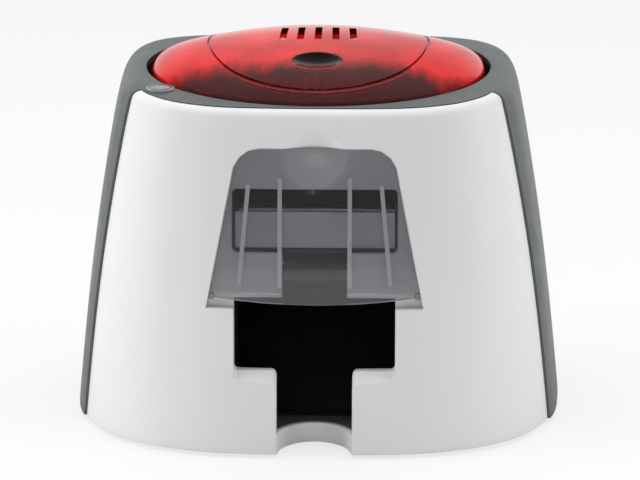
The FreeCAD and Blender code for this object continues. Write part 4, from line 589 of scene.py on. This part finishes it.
def in_step_groove(face):
    """Faces of the wall and floor of the round groove in the dome."""
    middle = face.center
    share = (middle.x ** 2 + (middle.y - ring_centre_y) ** 2) ** 0.5 / ring_radius
    inside = groove_shares[0] < share < groove_shares[1] and face.area < groove_face_area
    return inside and face.normal.z > groove_facing


lift_lid_shoulder(skins["lid"])
face_finish(skins["lid"], lit_red, in_vent)
# Painted shade: the groove's wall and floor are given the darker red.
face_finish(skins["lid"], shaded_red, in_step_groove)


# Inside the lid

up = Vector((0.0, 0.0, 1.0))
above_z = 1.0
shade_half_width = 27.0 * MM
shade_height = 12.0 * MM
shade_thickness = 0.8 * MM
shade_drop = 4.0 * MM
shade_y = 44.0 * MM
line_width = 0.35 * MM
line_height = 1.0 * MM
line_half_gap = 0.8 * MM
line_pitch = 5.2 * MM
line_front_y = -53.0 * MM
line_rear_y = -41.0 * MM
lid_tree = solid_tree("lid")


def shade_behind_vents():
    """Dark sheet inside the rear of the lid, put in as painted shade: it closes the view through the vents,
    so they show dark.
    """
    top = lid_tree.ray_cast(Vector((shade_half_width, shade_y, above_z)), -up)[0].z - shade_drop
    shape = bmesh.new()
    bmesh.ops.create_cube(shape, size=1.0)
    bmesh.ops.scale(shape, vec=(2 * shade_half_width, shade_thickness, shade_height), verts=shape.verts)
    bmesh.ops.translate(shape, vec=(0.0, shade_y, top - shade_height / 2), verts=shape.verts)
    return new_piece("vent_shadow_sheet", shape, "lid", "dark_plastic")


def make_lid_rib_lines():
    """Three pairs of thin upright edges under the dome, in front of its dimple."""
    shape = bmesh.new()
    for i in (-1, 0, 1):
        for side in (-1, 1):
            before = len(shape.verts)
            bmesh.ops.create_cube(shape, size=1.0)
            shape.verts.ensure_lookup_table()
            bar = shape.verts[before:]
            bmesh.ops.scale(shape, vec=(line_width, line_rear_y - line_front_y, line_height), verts=bar)
            x = i * line_pitch + side * line_half_gap
            bmesh.ops.translate(shape, vec=(x, (line_rear_y + line_front_y) / 2, 0.0), verts=bar)
    for vertex in shape.verts:
        under = lid_tree.ray_cast(Vector((vertex.co.x, vertex.co.y, 0.0)), up)[0].z
        vertex.co.z += under - line_height / 2
    return new_piece("lid_rib_lines", shape, "lid", "red_lid", lit_red)


shade_behind_vents()
make_lid_rib_lines()


# Feeder cover

rearward = Vector((0.0, 1.0, 0.0))
in_front_y = -0.2
rib_x = 18.8 * MM
rib_low_z = 86.8 * MM
rib_high_z = 153.0 * MM
edge_rib_low_x = 41.4 * MM
edge_rib_low_z = 88.6 * MM
edge_rib_high_x = 35.8 * MM
edge_rib_high_z = 149.0 * MM
rib_width = 2.3 * MM
rib_corner_share = 0.45
rib_foot_width = 0.35 * MM
rib_foot_height = 0.45 * MM
rib_sink = 0.1 * MM
mark_half_width = 9.2 * MM
mark_low_z = 90.2 * MM
mark_high_z = 93.4 * MM
mark_corner = 0.3 * MM
mark_foot_width = 0.28 * MM
mark_foot_height = 0.2 * MM
strip_corner_steps = 4
strip_cuts = 10
dish_steps = 20
dish_depth = 4.4 * MM
dish_clearance = 0.15 * MM
search_gap = 0.02 * MM
cut_tolerance = 0.01 * MM
cover_tree = solid_tree("feeder_cover")
shell_tree = solid_tree("front_shell")


def cover_outer_y(x, z):
    """Depth of the outer face of the cover."""
    return cover_tree.ray_cast(Vector((x, in_front_y, z)), rearward)[0].y


def cover_inner(x, z):
    """Place on the inner face of the cover, or nothing beside it."""
    return cover_tree.ray_cast(Vector((x, 0.0, z)), -rearward)[0]


def rib_base_y(x, z):
    """Depth at which a rib lies, just inside the wall of the cover."""
    return cover_inner(x, z).y - rib_sink


def room_behind_cover(x, z):
    """Free depth between the cover and the shell behind it."""
    inner_y = cover_inner(x, z).y
    shell = shell_tree.ray_cast(Vector((x, inner_y + search_gap, z)), rearward)[0]
    return shell.y - inner_y - dish_clearance if shell else dish_depth


def add_strip(whole, corners, round_off, foot_width, foot_height, surface_y):
    """Adds a thin strip that follows a curved face.

    The corners are those seen from the front. The first of its sections stays open, apart from a narrow
    foot beside the second one, which stands up from the face.
    """
    shape = bmesh.new()
    outline = shape.faces.new([shape.verts.new((x, 0.0, z)) for x, z in corners])
    bmesh.ops.bevel(shape, geom=list(outline.verts), offset=round_off, segments=strip_corner_steps,
                    profile=0.5, affect="VERTICES", material=-1)
    shape.faces.ensure_lookup_table()
    long_edges = sorted(shape.faces[0].edges, key=lambda edge: -edge.calc_length())[:2]
    bmesh.ops.subdivide_edges(shape, edges=long_edges, cuts=strip_cuts)
    shape.faces.ensure_lookup_table()
    first = shape.faces[0]
    foot = bmesh.ops.inset_region(shape, faces=[first], thickness=foot_width)["faces"]
    bmesh.ops.delete(shape, geom=[first], context="FACES")
    raised = bmesh.ops.extrude_face_region(shape, geom=foot, use_keep_orig=True)["geom"]
    top = [item for item in raised if isinstance(item, bmesh.types.BMVert)]
    bmesh.ops.translate(shape, vec=(0.0, foot_height, 0.0), verts=top)
    for vertex in shape.verts:
        vertex.co.y += surface_y(vertex.co.x, vertex.co.z)
    mesh = bpy.data.meshes.new("strip")
    shape.to_mesh(mesh)
    shape.free()
    whole.from_mesh(mesh)
    bpy.data.meshes.remove(mesh)


def band(low_x, low_z, high_x, high_z, half_width):
    """Corners of a bar from one point to another."""
    return [(low_x - half_width, low_z), (low_x + half_width, low_z), (high_x + half_width, high_z),
            (high_x - half_width, high_z)]


def make_cover_ribs():
    """Ribs of the cover, as strips in its inner face: two upright and two along its slanted edges."""
    shape = bmesh.new()
    for side in (-1, 1):
        upright = band(side * rib_x, rib_low_z, side * rib_x, rib_high_z, rib_width / 2)
        slanted = band(side * edge_rib_low_x, edge_rib_low_z, side * edge_rib_high_x, edge_rib_high_z,
                       rib_width / 2)
        for corners in (upright, slanted):
            add_strip(shape, corners, rib_width * rib_corner_share, rib_foot_width, rib_foot_height,
                      rib_base_y)
    bmesh.ops.recalc_face_normals(shape, faces=shape.faces)
    # The ribs are given the whitish painted highlight finish.
    return new_piece("cover_ribs", shape, "feeder_cover", "smoked_cover", painted_rib_highlight)


def make_cover_mark():
    """Thin rectangle low on the front of the cover."""
    shape = bmesh.new()
    corners = band(0.0, mark_low_z, 0.0, mark_high_z, mark_half_width)
    add_strip(shape, corners, mark_corner, mark_foot_width, -mark_foot_height, cover_outer_y)
    bmesh.ops.recalc_face_normals(shape, faces=shape.faces)
    return new_piece("cover_mark", shape, "feeder_cover", "smoked_cover")


def cut_across(shape, place, normal):
    """Divides the faces of a shape along a plane, and keeps both sides."""
    everything = shape.verts[:] + shape.edges[:] + shape.faces[:]
    bmesh.ops.bisect_plane(shape, geom=everything, dist=cut_tolerance, plane_co=place, plane_no=normal)


def press_finger_dish(piece):
    """Presses the finger dish into the top of the cover, as deep as the shell behind it leaves room for."""
    shape = bmesh.new()
    shape.from_mesh(piece.data)
    for i in range(dish_steps + 1):
        x = dish_half_width * (2 * i / dish_steps - 1)
        z = dish_top_z - dish_height * i / dish_steps
        cut_across(shape, (x, 0.0, 0.0), (1.0, 0.0, 0.0))
        cut_across(shape, (0.0, 0.0, z), (0.0, 0.0, 1.0))
    for vertex in shape.verts:
        x, z = vertex.co.x, vertex.co.z
        fall = max(dish_top_z - z, 0.0) / dish_height
        share = (x / dish_half_width) ** 2 + fall ** 2
        if share < 1 and cover_inner(x, z):
            vertex.co.y += max(min(dish_depth * (1 - share), room_behind_cover(x, z)), 0.0)
    shape.to_mesh(piece.data)
    shape.free()


make_cover_ribs()
make_cover_mark()
press_finger_dish(skins["feeder_cover"])


# Lamps

lamp_target = Vector((0.0, 0.0, 0.1))
lamps = {
    "lamp_top": {"place": (0.0, 0.1, 1.6), "size": (1.6, 1.2), "power": 17.0},
    "lamp_left": {"place": (-1.75, -0.3, 0.7), "size": (0.9, 1.3), "power": 18.5},
    "lamp_right": {"place": (1.75, -0.4, 0.7), "size": (0.8, 1.2), "power": 12.5},
    "lamp_front": {"place": (-0.3, -2.4, 0.7), "size": (1.4, 0.7), "power": 6.0},
}

for lamp_name, lamp in lamps.items():
    lamp_data = bpy.data.lights.new(lamp_name, "AREA")
    lamp_data.shape = "RECTANGLE"
    lamp_data.size, lamp_data.size_y = lamp["size"]
    lamp_data.energy = lamp["power"]
    lamp_object = bpy.data.objects.new(lamp_name, lamp_data)
    lamp_object.location = lamp["place"]
    lamp_object.rotation_euler = (lamp_target - lamp_object.location).to_track_quat("-Z", "Y").to_euler()
    lamp_object.visible_glossy = False
    scene.collection.objects.link(lamp_object)


# Background and floor

wall_directions = (-0.35, 0.45)
wall_strengths = (0.16, 0.45)
mirrored_directions = (0.45, 0.85)
mirrored_floor_end = 0.5
floor_half_size = 5.0
floor_share = 0.75
floor_gloss = 0.6
floor_colour = (0.86, 0.86, 0.86, 1.0)


def background_rays(tree, rear):
    """One for rays that show the background: straight ones, and mirrored or refracted ones to the rear."""
    ray = tree.nodes.new("ShaderNodeLightPath")
    bent = combine(tree, "ADD", ray.outputs["Is Glossy Ray"], ray.outputs["Is Transmission Ray"], clamp=True)
    bent_to_rear = combine(tree, "MULTIPLY", bent, rear)
    return combine(tree, "ADD", ray.outputs["Is Camera Ray"], bent_to_rear, clamp=True)


def make_sky():
    """White to the camera, with a plain soft light on the object that is stronger from behind."""
    world = bpy.data.worlds.new("world")
    scene.world = world
    world.use_nodes = True
    sky = world.node_tree
    background = sky.nodes["Background"]
    background.inputs["Color"].default_value = (1.0, 1.0, 1.0, 1.0)
    y = axes(sky, "Generated")["Y"]
    wall = span(sky, y, *wall_directions, *wall_strengths)
    seen = background_rays(sky, span(sky, y, *mirrored_directions, 0.0, 1.0))
    link(sky, combine(sky, "ADD", seen, wall, clamp=True), background.inputs["Strength"])


def floor_finish():
    material, tree, shader = new_material("floor")
    shader.inputs["Base Color"].default_value = floor_colour
    shader.inputs["Roughness"].default_value = floor_gloss
    glow = tree.nodes.new("ShaderNodeEmission")
    glow.inputs["Strength"].default_value = 1.0
    blend = tree.nodes.new("ShaderNodeMixShader")
    seen = background_rays(tree, span(tree, axes(tree)["Y"], 0.0, mirrored_floor_end, 0.0, 1.0))
    link(tree, combine(tree, "MULTIPLY", seen, floor_share), blend.inputs["Fac"])
    link(tree, shader.outputs["BSDF"], blend.inputs[1])
    link(tree, glow.outputs["Emission"], blend.inputs[2])
    link(tree, blend.outputs["Shader"], tree.nodes["Material Output"].inputs["Surface"])
    return material


def make_floor():
    shape = bmesh.new()
    bmesh.ops.create_grid(shape, x_segments=1, y_segments=1, size=floor_half_size)
    mesh = bpy.data.meshes.new("floor")
    shape.to_mesh(mesh)
    shape.free()
    mesh.materials.append(floor_finish())
    floor = bpy.data.objects.new("floor", mesh)
    scene.collection.objects.link(floor)


make_sky()
make_floor()
scene.view_settings.view_transform = "Standard"

bpy.context.view_layer.update()
